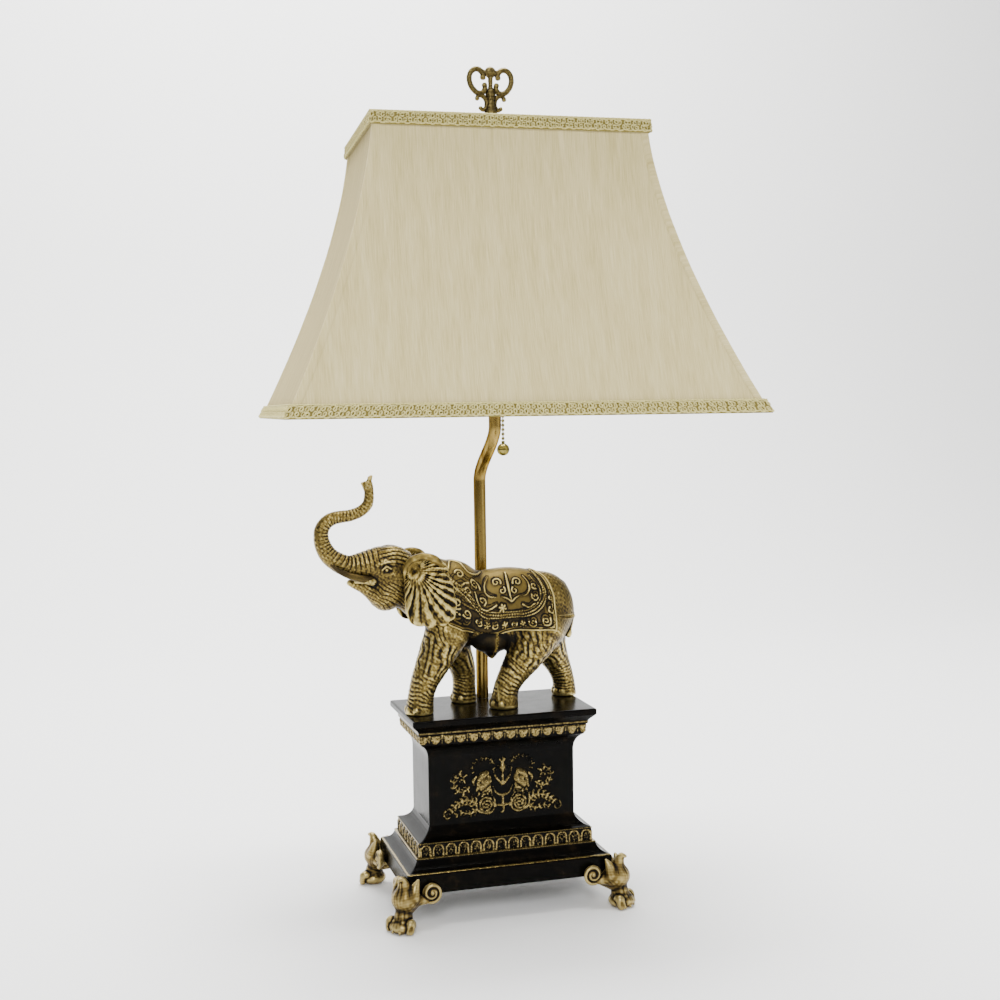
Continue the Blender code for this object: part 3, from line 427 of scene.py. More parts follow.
figureGold = antiqueGold(
    "antiqueGoldFigure", ("#b8a667", "#75632f", "#382d15"), "#0c0905", 0.84, 0.33, -0.26, 0.22
)
footGold = antiqueGold(
    "antiqueGoldFeet", ("#ad9a62", "#705d2f", "#382d16"), "#0c0905", 0.84, 0.35, -0.24, 0.25
)
finialMetal = antiqueGold(
    "antiqueBrassFinial", ("#776a3c", "#564a28", "#332915"), "#0e0b07", 0.9, 0.34, -0.2, 0.3
)
blackLacquer = lacquer("blackBronzeLacquer")
antiqueBrass = wornMetal(
    "antiqueBrassTube", "#9c854a", "#5e4a22", 0.24, streak=(1, 1, 0.05), grain=6.0, edge="#5c4826"
)
harpBrass = wornMetal("brassWire", "#b6924c", "#8b6b34", 0.3)
socketBrass = wornMetal("spunBrass", "#b8954f", "#94743a", 0.26)
zincSteel = wornMetal("zincPlatedSteel", "#c9cacb", "#9fa1a3", 0.35)
brightAluminium = wornMetal("rolledAluminium", "#d4d5d6", "#b4b6b8", 0.3)
phenolic = dyedSolid("blackPhenolic", "#24201c", "#151210", 0.45, 1.5)
fibrePaper = dyedSolid("fibrePaper", "#9a7750", "#7c5c3a", 0.9, 0.8)
hardboard = dyedSolid("brownHardboard", "#6d4a2c", "#4f331d", 0.85, 1.2, 0.2)
softRubber = dyedSolid("blackRubber", "#1b1b1b", "#111111", 0.7, 1.0)
shadeLinen = shadeCloth("slubbedLinen", "#d7c997", "#c9ba85", "#b5a56f")
# a darker copy of the same linen for the left and right panels: painted shade, as if those walls were
# turned from the light
shadedSideLinen = shadeCloth("slubbedLinenPaintedShade", "#bdad78", "#ae9e69", "#998a56")
print("finishes ready")


# Shade

shade = dict(
    turn=-3.0,  # degrees about the harp
    top=701.5,
    bottom=447.5,
    topHalf=(119.0, 83.0),
    bottomHalf=(201.3, 156.3),
    flare=1.5,
    panelEdge=2.2,  # bare wall left at each side of a panel, under the corner tape
    clothBottom=448.1,
    clothTop=700.9,
    liningBottom=448.6,
    liningTop=691.4,
    liningInset=6.8,
)


def shadeCorner(k, z, grow=0.0):
    # corner k of the shade at height z: half = top + (bottom - top) drop^flare, grown, then turned
    drop = (shade["top"] - z) / (shade["top"] - shade["bottom"])
    share = np.sign(drop) * np.abs(drop) ** shade["flare"]
    half = [t + (b - t) * share + grow for t, b in zip(shade["topHalf"], shade["bottomHalf"])]
    signX, signY = ((-1, -1), (1, -1), (1, 1), (-1, 1))[k % 4]
    x, y = signX * half[0], signY * half[1]
    turn = math.radians(shade["turn"])
    return np.stack(
        [x * math.cos(turn) - y * math.sin(turn), x * math.sin(turn) + y * math.cos(turn), z + 0 * x], -1
    )


def shadeWall(side, along, z, grow=0.0):
    # a point of one wall: `along` mm from the wall's middle, at height z (both arrays of one shape)
    start, end = shadeCorner(side, z, grow), shadeCorner(side + 1, z, grow)
    span = end - start
    width = np.linalg.norm(span, axis=-1, keepdims=True)
    return (start + end) / 2 + span / width * along[..., None]


def wallWidth(side, z, grow=0.0):
    return np.linalg.norm(shadeCorner(side + 1, z, grow) - shadeCorner(side, z, grow), axis=-1)


def wallRing(z, grow, perSide):
    # rows of points round all four walls, at the heights z
    share = np.linspace(0, 1, perSide, endpoint=False)
    ring = []
    for side in range(4):
        a, b = shadeCorner(side, z, grow), shadeCorner(side + 1, z, grow)
        ring.append(a[:, None] + (b - a)[:, None] * share[None, :, None])
    return np.concatenate(ring, 1)


def leaf(outer, inner):
    # a thin closed sheet from its outer and inner faces, with its side edges drawn together
    ring = np.concatenate([outer, inner[::-1]])
    ends = (np.concatenate([outer, inner[::-1]]) + np.concatenate([inner, outer[::-1]])) / 2
    ring = np.concatenate([ends[:, :1], ring, ends[:, -1:]], 1)
    return gridBit(ring * mm, loopRows=True)


def clothMap(made, across, up):
    # the UV map: metres across the cloth and metres up it, from each vertex's place
    points = vertexArray(made)
    loops = np.zeros(len(made.data.loops), int)
    made.data.loops.foreach_get("vertex_index", loops)
    layer = made.data.uv_layers.new(name="cloth")
    layer.data.foreach_set(
        "uv", np.stack([across(points), up(points)], -1)[loops].astype(np.float32).ravel()
    )


wallHeights = np.linspace(shade["bottom"], shade["top"], 200)


def wallLength(z):
    # arc length up the flared wall from its bottom edge, in mm
    half = shadeCorner(1, wallHeights)
    step = np.linalg.norm(np.diff(half[:, ::2], axis=0), axis=1)
    return np.interp(z, wallHeights, np.concatenate([[0], np.cumsum(step)]))


def mapWall(made, side):
    start, end = shadeCorner(side, np.array(500.0)), shadeCorner(side + 1, np.array(500.0))
    axis = (end - start) / np.linalg.norm(end - start)
    clothMap(made, lambda p: p @ axis, lambda p: wallLength(p[:, 2] / mm) * mm)


for side, name in enumerate(("front", "right", "back", "left")):
    z = np.concatenate([[shade["clothBottom"]], np.linspace(448.6, 700.4, 84), [shade["clothTop"]]])
    across = np.concatenate([[-1], np.linspace(-0.998, 0.998, 90), [1]])
    halfSpan = wallWidth(side, z)[:, None] / 2 - shade["panelEdge"]
    along = halfSpan * across
    zz = z[:, None] + 0 * along
    # the cloth is drawn tight: it sags 0.5 mm between its edges and is a little uneven
    rise = np.clip((zz - 448) / 253, 0, 1)
    slack = 0.55 * np.sin(np.pi * rise) ** 0.7 * (1 - across[None] ** 4)
    uneven = 0.12 * np.sin(along / 23 + side) * np.sin(zz / 31 + 2 * side) * np.sin(np.pi * rise)
    # the left and right walls wear the darker copy of the linen, which paints shade on them
    panel = piece(
        f"shadePanel{name.capitalize()}",
        [
            leaf(
                shadeWall(side, along, zz, uneven - slack), shadeWall(side, along, zz, uneven - slack - 0.8)
            )
        ],
        shadeLinen if side in (0, 2) else shadedSideLinen,
        body="shade",
        slot="linen",
        replaces=[f"shade_panel_{name}"],
    )
    mapWall(panel, side)

cornerNames = ("front_left", "front_right", "back_right", "back_left")


def camel(name):
    return "".join(word.capitalize() for word in name.split("_"))


for k, name in enumerate(cornerNames):
    # a folded tape over the corner seam: its edges lie on the cloth and its fold stands 1 mm proud
    z = np.linspace(448.2, 700.8, 64)
    reach = np.array([-6.5, -6.2, -4.5, -2.5, -1.0, -0.35, 0.35, 1.0, 2.5, 4.5, 6.2, 6.5])
    height = np.array([0.1, 0.75, 0.85, 0.9, 0.95, 0.8, 0.8, 0.95, 0.9, 0.85, 0.75, 0.1])
    columns = []
    for d, h in zip(reach, height):
        h = h + 0.06 * np.sin(z / 7.3 + 3 * d)
        side = (k - 1) % 4 if d < 0 else k
        start = -wallWidth(side, z, h) / 2 if d >= 0 else wallWidth(side, z, h) / 2
        columns.append(shadeWall(side, start + d, z, h))
    outer = np.stack(columns, 1)
    inward = outer.copy()
    inward[..., :2] *= 1 - 0.9 / np.linalg.norm(outer[..., :2], axis=-1, keepdims=True)
    tape = piece(
        f"cornerTape{camel(name)}",
        [leaf(outer, inward)],
        shadeLinen,
        body="shade",
        slot="linen",
        replaces=[f"corner_tape_{name}"],
        sharp=60,
    )
    mapWall(tape, k)


tapePerSide = 40


def gimpLoop(lowZ, highZ):
    # braid round the shade: a woven tape, a cord along one edge, and two rows of looped cord on it
    zMiddle = (lowZ + highZ) / 2
    thick = np.array([1.9, 2.5, 2.6, 2.6, 2.6, 2.5, 1.9])
    z = np.linspace(lowZ, highZ, len(thick))
    front, back = (wallRing(z, grow, tapePerSide) for grow in (thick, 0 * thick + 1.3))
    bits = [gridBit(np.concatenate([front, back[::-1]]) * mm, True, True)]

    def onBraid(length, height, proud):
        # a place on the braid: mm round from the front left corner, height, and mm proud of the cloth
        widths = np.array([float(wallWidth(side, zMiddle, 3.0)) for side in range(4)])
        ends = np.concatenate([[0], np.cumsum(widths)])
        length = np.mod(length, ends[-1])
        side = np.clip(np.searchsorted(ends, length, side="right") - 1, 0, 3)
        share = (length - ends[side]) / widths[side]
        out = np.zeros(length.shape + (3,))
        for k in range(4):
            a, b = shadeCorner(k, height, proud), shadeCorner(k + 1, height, proud)
            out = np.where((side == k)[..., None], a + (b - a) * share[..., None], out)
        return out * mm

    total = sum(float(wallWidth(side, zMiddle, 3.0)) for side in range(4))
    loops = 22 * round(total / 4.4 / 22)
    t = np.linspace(0, total, loops * 12, endpoint=False)
    phase = 2 * np.pi * loops * t / total
    for row, (centre, swing) in enumerate(((zMiddle + 2.2, 2.1), (zMiddle - 2.6, 2.1))):
        # a looped cord that passes over and under itself: x = t + 2.3 sin(phase),
        # z = centre + swing cos(phase)
        way = 1 if row == 0 else -1
        wave, uneven = phase + 0.6 * np.sin(phase * 7 / 22), 1 + 0.22 * np.sin(phase * 9 / 22 + row)
        path = onBraid(
            t + way * 2.3 * np.sin(wave), centre + swing * uneven * np.cos(wave),
            3.1 + 0.5 * np.sin(phase / 2 + row)
        )
        bits.append(sweep(path, 0.74 * mm, 5, up=(0, 0.01, 1), loop=True))
    edge = highZ - 0.9
    s = np.linspace(0, total, 700, endpoint=False)
    for strand in range(2):
        # the edge cord is two strands twisted once every 3.2 mm
        twist = 2 * np.pi * round(total / 3.2) / total * s + np.pi * strand
        path = onBraid(s, edge + 0.42 * np.cos(twist), 3.2 + 0.42 * np.sin(twist))
        bits.append(sweep(path, 0.52 * mm, 5, up=(0, 0.01, 1), loop=True))
    return bits


def braidYarn(name, light, dark):
    # Rayon braid: soft sheen, with painted shade making the ground between the loops darker than
    # the cords on it, read from a number stored on each vertex.
    material, tree, shader = newMaterial(name, Roughness=0.7, SpecularIORLevel=0.15, SheenWeight=0.06)
    coords = addNode(tree, "ShaderNodeTexCoord")
    wash = addNode(tree, "ShaderNodeAttribute", attribute_name="wash")
    noise = noiseNode(tree, (coords, "Object"), 0.9, 3.0)
    mixed = mathNode(tree, "MULTIPLY_ADD", (noise, "Fac"), 0.7, (wash, "Fac"))
    tone = rampNode(tree, (mixed, 0), (0.15, light), (0.75, dark))
    feed(tree, shader, {"Base Color": (tone, "Color")}, (noise, "Fac"), 0.5, 0.15)
    return material


gimpYarn = braidYarn("goldenBraid", "#d9cd88", "#80743c")
for name, low, high in (("Top", 690.0, 701.9), ("Bottom", 446.8, 459.0)):
    gimp = piece(
        f"gimp{name}",
        gimpLoop(low, high),
        gimpYarn,
        body="shade",
        slot="gimp",
        replaces=[f"{name.lower()}_gimp"],
        sharp=80,
        weld=False,
    )
    ground = np.zeros(len(gimp.data.vertices))
    ground[: 14 * 4 * tapePerSide] = 0.45  # the tape under the cords is in their shade
    setAttribute(gimp, "wash", ground)

# the lining: white styrene-backed cloth that hangs 6.8 mm inside the wall
z = np.linspace(shade["liningBottom"], shade["liningTop"], 60)
outer, inner = (wallRing(z, -shade["liningInset"] - thick, 30) for thick in (0, 0.6))
liningCloth = shadeCloth("whiteLining", "#efece2", "#e6e2d6", "#d8d3c4", streak=12)
lining = piece(
    "shadeLining",
    [gridBit(np.concatenate([outer, inner[::-1]]) * mm, True, True)],
    liningCloth,
    body="shade",
    slot="lining",
    replaces=["shade_lining"],
)
clothMap(
    lining,
    lambda p: np.where(np.abs(p[:, 1]) * 0.75 > np.abs(p[:, 0]) * 0.55, p[:, 0], p[:, 1]),
    lambda p: wallLength(p[:, 2] / mm) * mm,
)
print("shade made")


# Pedestal

pedestal = dict(x=-7.0, depthLess=35.0, corner=1.6)
# outline of the mouldings: height, half width
mouldings = np.array([
    (28.2, 95.0), (28.9, 95.5), (44.6, 95.5), (45.6, 95.1), (46.2, 94.4), (46.5, 93.2),
    (46.8, 91.8), (47.4, 90.4), (48.4, 88.6), (49.8, 86.9), (51.3, 85.7), (53.0, 84.8),
    (54.6, 84.2), (55.2, 84.3), (56.0, 84.3), (56.5, 84.0), (56.7, 83.2), (56.9, 81.8),
    (57.2, 81.2), (68.0, 81.2), (68.4, 81.6), (68.9, 81.4), (69.4, 80.2), (70.0, 77.9),
    (70.9, 75.8), (72.2, 73.9), (74.0, 71.8), (76.4, 70.0), (79.2, 68.9), (80.4, 68.6),
    (90.0, 68.6), (110.0, 68.6), (130.0, 68.6), (140.4, 68.6), (143.0, 68.8), (146.0, 69.4),
    (148.8, 70.5), (151.4, 72.1), (153.2, 73.8), (154.6, 75.4), (155.0, 76.1), (155.3, 76.6),
    (164.6, 78.2), (165.0, 79.1), (165.5, 79.6), (166.6, 79.7), (167.2, 79.5), (168.5, 80.1),
    (169.8, 81.2), (171.2, 82.6), (172.6, 84.0), (173.8, 85.2), (174.7, 85.7), (175.5, 85.7),
    (178.3, 85.7), (179.0, 85.4), (179.4, 84.7),
])


def ringPoints(z, half, perSide, perCorner=5):
    # rows of points round a rounded rectangle, with each point's outward way and the side's own mm
    radius = pedestal["corner"]
    places, ways, sides, along = [], [], [], []
    for k, ((ax, ay), (bx, by)) in enumerate(
        (((-1, -1), (1, -1)), ((1, -1), (1, 1)), ((1, 1), (-1, 1)), ((-1, 1), (-1, -1)))
    ):
        outward = np.array([(0, -1), (1, 0), (0, 1), (-1, 0)][k], float)
        t = np.linspace(0, 1, perSide)
        straightA = np.stack([ax * (half - radius), ay * (half - pedestal["depthLess"] - radius)], -1)
        straightB = np.stack([bx * (half - radius), by * (half - pedestal["depthLess"] - radius)], -1)
        line = straightA[:, None] + (straightB - straightA)[:, None] * t[None, :, None] + outward * radius
        places.append(line)
        ways.append(np.broadcast_to(outward, line.shape))
        sides.append(np.full(line.shape[:2], k))
        span = np.linalg.norm(straightB - straightA, axis=-1)
        along.append((t[None] - 0.5) * span[:, None])
        start = math.atan2(outward[1], outward[0])
        turn = start + np.linspace(0, math.pi / 2, perCorner + 2)[1:-1]
        way = np.stack([np.cos(turn), np.sin(turn)], -1)[None] + 0 * straightB[:, None]
        places.append(straightB[:, None] + way * radius)
        ways.append(way)
        sides.append(np.full(way.shape[:2], k))
        along.append(np.broadcast_to(span[:, None] / 2, way.shape[:2]))
    place = np.concatenate(places, 1)
    place = np.concatenate([place + [pedestal["x"], 0], (z[:, None] + 0 * place[..., 0])[..., None]], -1)
    return place, np.concatenate(ways, 1), np.concatenate(sides, 1), np.concatenate(along, 1)


def curveThrough(knots, count):
    # the outline read at equal steps of length, straight between its knots
    length = np.concatenate([[0], np.cumsum(np.linalg.norm(np.diff(knots, axis=0), axis=1))])
    at = np.unique(np.concatenate([np.linspace(0, length[-1], count), length]))
    return np.stack([np.interp(at, length, column) for column in knots.T], -1)


def giltLine(z):
    # how gilded a height is: the plinth's top edge, both fillets of the arcade, and the collar
    lines = ((46.1, 0.4), (56.4, 0.5), (68.6, 0.45), (166.9, 0.55))
    return np.clip(sum(np.exp(-(((z - centre) / width) ** 2)) for centre, width in lines), 0, 1)


outline = curveThrough(mouldings, 400)
place, way, side, along = ringPoints(outline[:, 0], outline[:, 1], 40)
lid = np.array([[pedestal["x"], 0, 179.45]])
rows = np.concatenate([
    np.array([[pedestal["x"], 0, 28.15]])[None] + 0 * place[:1],
    place,
    lid[None] * [1, 1, 1] + (place[-1:] - lid[None]) * [0.98, 0.96, 1],
    lid[None] + 0 * place[:1],
])
casting = piece(
    "pedestalCasting",
    [gridBit(rows * mm, loopColumns=True)],
    blackLacquer,
    slot="black_resin",
    replaces=["pedestal_casting"],
    sharp=50,
)
setAttribute(casting, "gilt", giltLine(vertexArray(casting)[:, 2] / mm))


def band(name, lowZ, highZ, half, height, gilt, perSide, rowsUp, into=1.6):
    # a strip of ornament round the pedestal: half(z) plus height(side, along, z) along the outward way
    z = np.linspace(lowZ, highZ, rowsUp)
    place, way, side, along = ringPoints(z, half(z), perSide)
    zz = z[:, None] + 0 * along
    rise = height(side, along, zz)
    outer = place.copy()
    outer[..., :2] += way * rise[..., None]
    inner = place.copy()
    inner[..., :2] -= way * into
    made = piece(
        name,
        [gridBit(np.concatenate([outer, inner[::-1]]) * mm, True, True)],
        blackLacquer,
        slot="black_resin",
        sharp=70,
        weld=False,
    )
    setAttribute(made, "gilt", np.concatenate([gilt(side, along, zz, rise), 0 * zz]).ravel())


def repeated(along, side, pitches):
    # mm from the nearest repeat's middle, with a whole number of repeats on the long and short sides
    longSide, shortSide = pitches
    longSpan, shortSpan = 2 * 81.2, 2 * (81.2 - 35)
    pitch = np.where(side % 2 == 0, longSpan / longSide, shortSpan / shortSide)
    count = np.where(side % 2 == 0, longSide, shortSide)
    shifted = along / pitch + np.where(count % 2 == 0, 0.5, 0.0)
    return (shifted - np.round(shifted)) * pitch, pitch


def domed(x, half):
    # a half-round ridge: 1 at its middle and 0 from `half` mm on
    return np.sqrt(np.clip(1 - (x / half) ** 2, 0, 1))


arcade = dict(repeats=(14, 8), half=4.3, spring=62.6)


def archGap(x, z):
    # mm from the rib, which follows |x| = half up to the spring line and then a semicircle
    up = z - arcade["spring"]
    return np.where(up > 0, np.abs(np.hypot(x, up) - arcade["half"]), np.abs(np.abs(x) - arcade["half"]))


def arcadeHeight(side, along, z):
    # arches: a raised rib with a thinner one inside it, over a small leaf, and a foot between arches
    x, pitch = repeated(along, side, arcade["repeats"])
    rib = 0.95 * domed(archGap(x, z), 0.85)
    foot = np.where(z < 58.6, 0.9 * domed(np.abs(x) - pitch / 2, 1.9), 0)
    stem = 1.1 * domed(x, 0.8) * (z < 64.5)
    blade = 1.2 * domed(np.abs(x) - 1.5 - 0.10 * (z - 60), 0.8) * (z > 59) * (z < 64)
    up = z - arcade["spring"]
    lobe = 0.75 * domed(np.where(up > -0.6, np.abs(np.hypot(x, up) - 2.5), 9), 0.6)
    return np.maximum.reduce([rib, foot, stem, blade, lobe])


def arcadeGilt(side, along, z, rise):
    x, _ = repeated(along, side, arcade["repeats"])
    return np.clip(0.9 - archGap(x, z) / 2.2, 0.34, 1) * (rise > 0.25)


def leafHeight(side, along, z):
    # a leaf-and-dart row: each leaf is a rounded tongue, 8.6 mm long, with a groove down its middle
    x, pitch = repeated(along, side, arcade["repeats"])
    down = (164.6 - z) / 8.4
    w = 5.0 * np.sqrt(np.clip(1 - np.clip(down, 0, 1) ** 2.4, 0, 1)) + 0.01
    tongue = 2.1 * domed(x, w) * np.clip(down * 5 + 0.3, 0, 1)
    groove = 0.55 * np.exp(-((x / 0.5) ** 2))
    veins = 0.22 * np.sin(2 * np.pi * (np.abs(x) * 0.55 + down * 2.4)) * (np.abs(x) < w - 0.6)
    edge = np.where(np.abs(x) < w, 0.35 * np.exp(-(((w - np.abs(x)) / 0.7) ** 2)), 0)
    dart = 1.3 * domed(np.abs(x) - pitch / 2, 0.5 + 1.5 * np.clip(1 - down, 0, 1))
    return np.maximum(np.where(np.abs(x) < w, tongue - groove + veins + edge, 0), dart * (down < 0.92))


def leafGilt(side, along, z, rise):
    return np.clip((rise - 0.15) / 1.9, 0, 1) * 0.75


band("arcadeBand", 57.1, 68.2, lambda z: 81.0 + 0 * z, arcadeHeight, arcadeGilt, 210, 26)
band("leafBand", 155.4, 164.9, lambda z: 76.0 + (z - 155.4) * 0.14, leafHeight, leafGilt, 230, 24)


def spiral(x, z, start, turns, big, small, thick, hand=1):
    # a curl about (x, z): its radius shrinks from big to small as it turns
    t = np.linspace(0, 1, 46)
    angle = np.radians(start) + hand * 2 * np.pi * turns * t
    radius = big + (small - big) * t**0.8
    return np.stack([x + radius * np.cos(angle), z + radius * np.sin(angle), thick * (1 - 0.45 * t)], -1)


def stroke(knots, thick, count=26, taper=(1.0, 1.0, 0.55)):
    line = smoothPath(np.array(knots, float), count)
    width = np.interp(np.linspace(0, 1, count), [0, 0.5, 1], taper) * thick
    return np.column_stack([line, width])


def blossom(x, z, size, petals=5):
    # petals as short fat strokes round a round eye
    parts = [np.array([[x, z, size * 0.36]])]
    for angle in np.linspace(0, 2 * np.pi, petals, endpoint=False) + 0.3:
        a = np.array([np.cos(angle), np.sin(angle)])
        start, end = np.array([x, z]) + a * size * 0.45, np.array([x, z]) + a * size * 0.82
        parts.append(np.column_stack([np.linspace(start, end, 5), np.full(5, size * 0.27)]))
    return np.concatenate(parts)


def rose(x, z, size):
    # a bud wrapped by one long spiral of petals, wavy and wider as it goes out
    t = np.linspace(0, 1, 170)
    turn = 2 * np.pi * 2.9 * t + 0.8
    r = size * (0.08 + 0.84 * t) * (1 + 0.13 * np.abs(np.sin(1.25 * turn)))
    place = np.stack([x + r * np.cos(turn), z + 0.94 * r * np.sin(turn)], -1)
    return np.column_stack([place, size * (0.10 + 0.05 * np.sin(2.5 * turn) ** 2 + 0.02 * t)])


def acanthus(knots, lobes, size, thick=0.75):
    # a vein with curled lobes springing forward on both sides, shorter towards the tip
    line = smoothPath(np.array(knots, float), 60)
    way = np.gradient(line, axis=0)
    way /= np.linalg.norm(way, axis=1)[:, None]
    parts = [np.column_stack([line, np.linspace(thick, thick * 0.6, 60)])]
    for place in np.linspace(3, 56, lobes).astype(int):
        for hand in (-1, 1):
            side = np.array([-way[place, 1], way[place, 0]]) * hand
            reach = size * (1.0 - 0.45 * place / 60)
            t = np.linspace(0, 1, 10)[:, None]
            lobe = line[place] + side * reach * np.sin(t * 1.9) + way[place] * reach * (
                0.9 * t**1.5 - 0.25 * t
            )
            parts.append(np.column_stack([lobe, thick * (1.0 - 0.4 * t[:, 0])]))
    return np.concatenate(parts)


def mirrored(*strokes):
    return [*strokes, *(part * [-1, 1, 1] for part in strokes)]


dadoStrokes = [
    # the middle: a flaming torch in a vase, arms, a swag under it, and a crossed stem
    stroke([(0, 138.6), (1.3, 136), (0, 133.8)], 1.7, taper=(0.3, 1, 1)),
    *mirrored(stroke([(1.0, 134.2), (2.7, 136.4), (2.3, 138.4)], 0.9, taper=(1, 1, 0.4))),
    stroke([(0, 132.6), (0, 128.2), (0, 124.6)], 2.7, taper=(0.55, 1.1, 0.5)),
    stroke([(-4.4, 130.6), (0, 129.6), (4.4, 130.6)], 1.0),
    stroke([(0, 124), (0, 113.6)], 1.6, taper=(0.6, 0.8, 1)),
    stroke([(-9.2, 111.6), (-6, 105.6), (0, 103.2), (6, 105.6), (9.2, 111.6)], 1.5, taper=(0.6, 1, 0.6)),
    stroke([(-7.4, 94.6), (0, 93.8), (7.4, 94.6)], 1.7, taper=(0.6, 1, 0.6)),
    stroke([(0, 102), (0, 96), (0.6, 91), (-0.4, 87.4), (-2.6, 87.8)], 1.5, taper=(0.8, 1, 0.5)),
    *mirrored(
        stroke([(0.8, 113), (4.4, 117.4), (7.6, 122.6), (8.2, 126.6)], 1.3),
        spiral(6.4, 127.4, 0, 0.8, 2.2, 0.7, 0.95),
        # the two full-blown heads, each a lobed mass with drooping petals
        stroke([(14.8, 124.4), (18.6, 122.4), (21.6, 118.8)], 3.2, taper=(0.8, 1.1, 0.8)),
        stroke([(13.0, 120.6), (13.2, 116.8), (15.2, 113.4)], 2.8, taper=(0.8, 1.1, 0.6)),
        stroke([(17.6, 117.4), (17.8, 113.2), (20.2, 109.8)], 2.9, taper=(0.9, 1.1, 0.6)),
        stroke([(22.8, 115.6), (22.6, 112.2), (24.6, 108.8)], 2.3, taper=(0.8, 1, 0.5)),
        stroke([(11.8, 112.4), (13.8, 109.6), (17.4, 108.0)], 2.0, taper=(0.6, 1, 0.6)),
        stroke([(24.8, 121.6), (27.6, 118.0), (27.0, 113.6)], 1.6, taper=(0.8, 1, 0.5)),
        acanthus([(11.0, 108.8), (16.6, 105.2), (23.2, 106.2)], 4, 3.0, 1.2),
        # the garland loop over it
        acanthus(
            [(8.0, 132.4), (11.6, 137.0), (18.4, 138.0), (25.2, 135.2), (28.6, 129.6), (26.8, 124.6)], 8,
            2.6, 0.95
        ),
        # the leafy curl at the side
        acanthus(
            [
                (31.6, 112.6), (37.6, 108.8), (43.6, 111.6), (46.0, 118.2), (43.2, 124.4), (37.6, 125.6),
                (34.6, 121.8)
            ],
            8, 3.7, 1.3
        ),
        spiral(38.6, 118.2, 200, 1.1, 3.0, 0.8, 1.1, -1),
        # the rose, and the arm that bends round it
        rose(15.6, 95.0, 9.2),
        stroke([(6.4, 92.8), (7.6, 98.8), (10.8, 103.8), (15.6, 106.4)], 1.0, taper=(1, 1, 0.5)),
        # the acanthus branch that ends in a curl
        acanthus([(25.0, 97.2), (31.0, 100.6), (38.0, 100.4), (44.4, 97.0), (49.6, 92.4)], 7, 4.6, 1.5),
        acanthus([(25.6, 91.0), (31.6, 88.4), (38.6, 90.4), (44.6, 88.2)], 5, 3.4, 1.3),
        spiral(51.6, 89.0, 60, 1.3, 4.3, 0.9, 1.15, -1),
    ),
]


def dadoRelief(name, front):
    # a cast panel of scrolls: the ridges stand up to 3.6 mm out of the dado's face
    x = np.linspace(-59.5, 59.5, 300)
    z = np.linspace(82.6, 140.0, 146)
    gx, gz = np.meshgrid(x, z)
    rise = strokeHeight(np.stack([gx.ravel(), gz.ravel()], -1), dadoStrokes).reshape(gx.shape)
    rise = np.where(rise > 0, 0.3 + rise, 0) - 0.25
    rise[[0, -1]] = rise[:, [0, -1]] = -0.5
    face = 68.6 - pedestal["depthLess"]
    sign = -1 if front else 1
    outer = np.stack([pedestal["x"] - sign * gx, sign * (face + rise), gz], -1)
    inner = np.stack([pedestal["x"] - sign * gx, sign * (face - 1.2) + 0 * gx, gz], -1)
    made = piece(name, [leaf(outer, inner)], blackLacquer, slot="black_resin", sharp=75)
    # gilding rubbed over the ridges only
    high = np.abs(vertexArray(made)[:, 1]) / mm - face
    setAttribute(made, "gilt", np.clip((high - 0.1) / 1.7, 0, 1) * 0.85)


for name, front in (("dadoReliefFront", True), ("dadoReliefBack", False)):
    dadoRelief(name, front)
print("pedestal made")


# Shapes grown from distances: each form is (distance, low corner, high corner, blend, joined or cut)


def rope(knots, radii, blend=3.0, count=14, cut=False):
    # a chain of round cones through the knots: distance to the nearest one's axis less its radius there
    curve = smoothPath(np.column_stack([np.asarray(knots, float), radii]), count)
    spots, thick = curve[:, :3], curve[:, 3]

    def distance(x, y, z):
        best = None
        for a, b, ra, rb in zip(spots[:-1], spots[1:], thick[:-1], thick[1:]):
            d = b - a
            t = ((x - a[0]) * d[0] + (y - a[1]) * d[1] + (z - a[2]) * d[2]) / (d @ d)
            t = np.clip(t, 0, 1)
            gap = np.sqrt(
                (x - a[0] - t * d[0]) ** 2 + (y - a[1] - t * d[1]) ** 2 + (z - a[2] - t * d[2]) ** 2
            )
            gap -= ra + (rb - ra) * t
            best = gap if best is None else np.minimum(best, gap)
        return best

    reach = thick.max()
    return distance, spots.min(0) - reach, spots.max(0) + reach, blend, cut


def ball(centre, radii, tilt=0.0, blend=3.0, cut=False, turn=0.0):
    # an ellipsoid, tilted about y and then turned about z (degrees): k0 (k0 - 1) / k1, near enough
    radii = np.broadcast_to(np.asarray(radii, float), (3,))
    a, b = math.radians(tilt), math.radians(turn)

    def distance(x, y, z):
        x, y, z = x - centre[0], y - centre[1], z - centre[2]
        x, y = x * math.cos(b) + y * math.sin(b), y * math.cos(b) - x * math.sin(b)
        x, z = x * math.cos(a) - z * math.sin(a), z * math.cos(a) + x * math.sin(a)
        k0 = np.sqrt((x / radii[0]) ** 2 + (y / radii[1]) ** 2 + (z / radii[2]) ** 2)
        k1 = np.sqrt((x / radii[0] ** 2) ** 2 + (y / radii[1] ** 2) ** 2 + (z / radii[2] ** 2) ** 2)
        return k0 * (k0 - 1) / np.maximum(k1, 1e-6)

    reach = max(radii)
    return distance, np.array(centre) - reach, np.array(centre) + reach, blend, cut


def block(low, high, rounding=0.5, blend=0.0, cut=False):
    # a box with rounded edges
    low, high = np.array(low, float), np.array(high, float)
    middle, half = (low + high) / 2, (high - low) / 2 - rounding

    def distance(x, y, z):
        q = [np.abs(v - m) - h for v, m, h in zip((x, y, z), middle, half)]
        outside = np.sqrt(sum(np.maximum(v, 0) ** 2 for v in q))
        return outside + np.minimum(np.maximum(np.maximum(q[0], q[1]), q[2]), 0) - rounding

    return distance, low, high, blend, cut


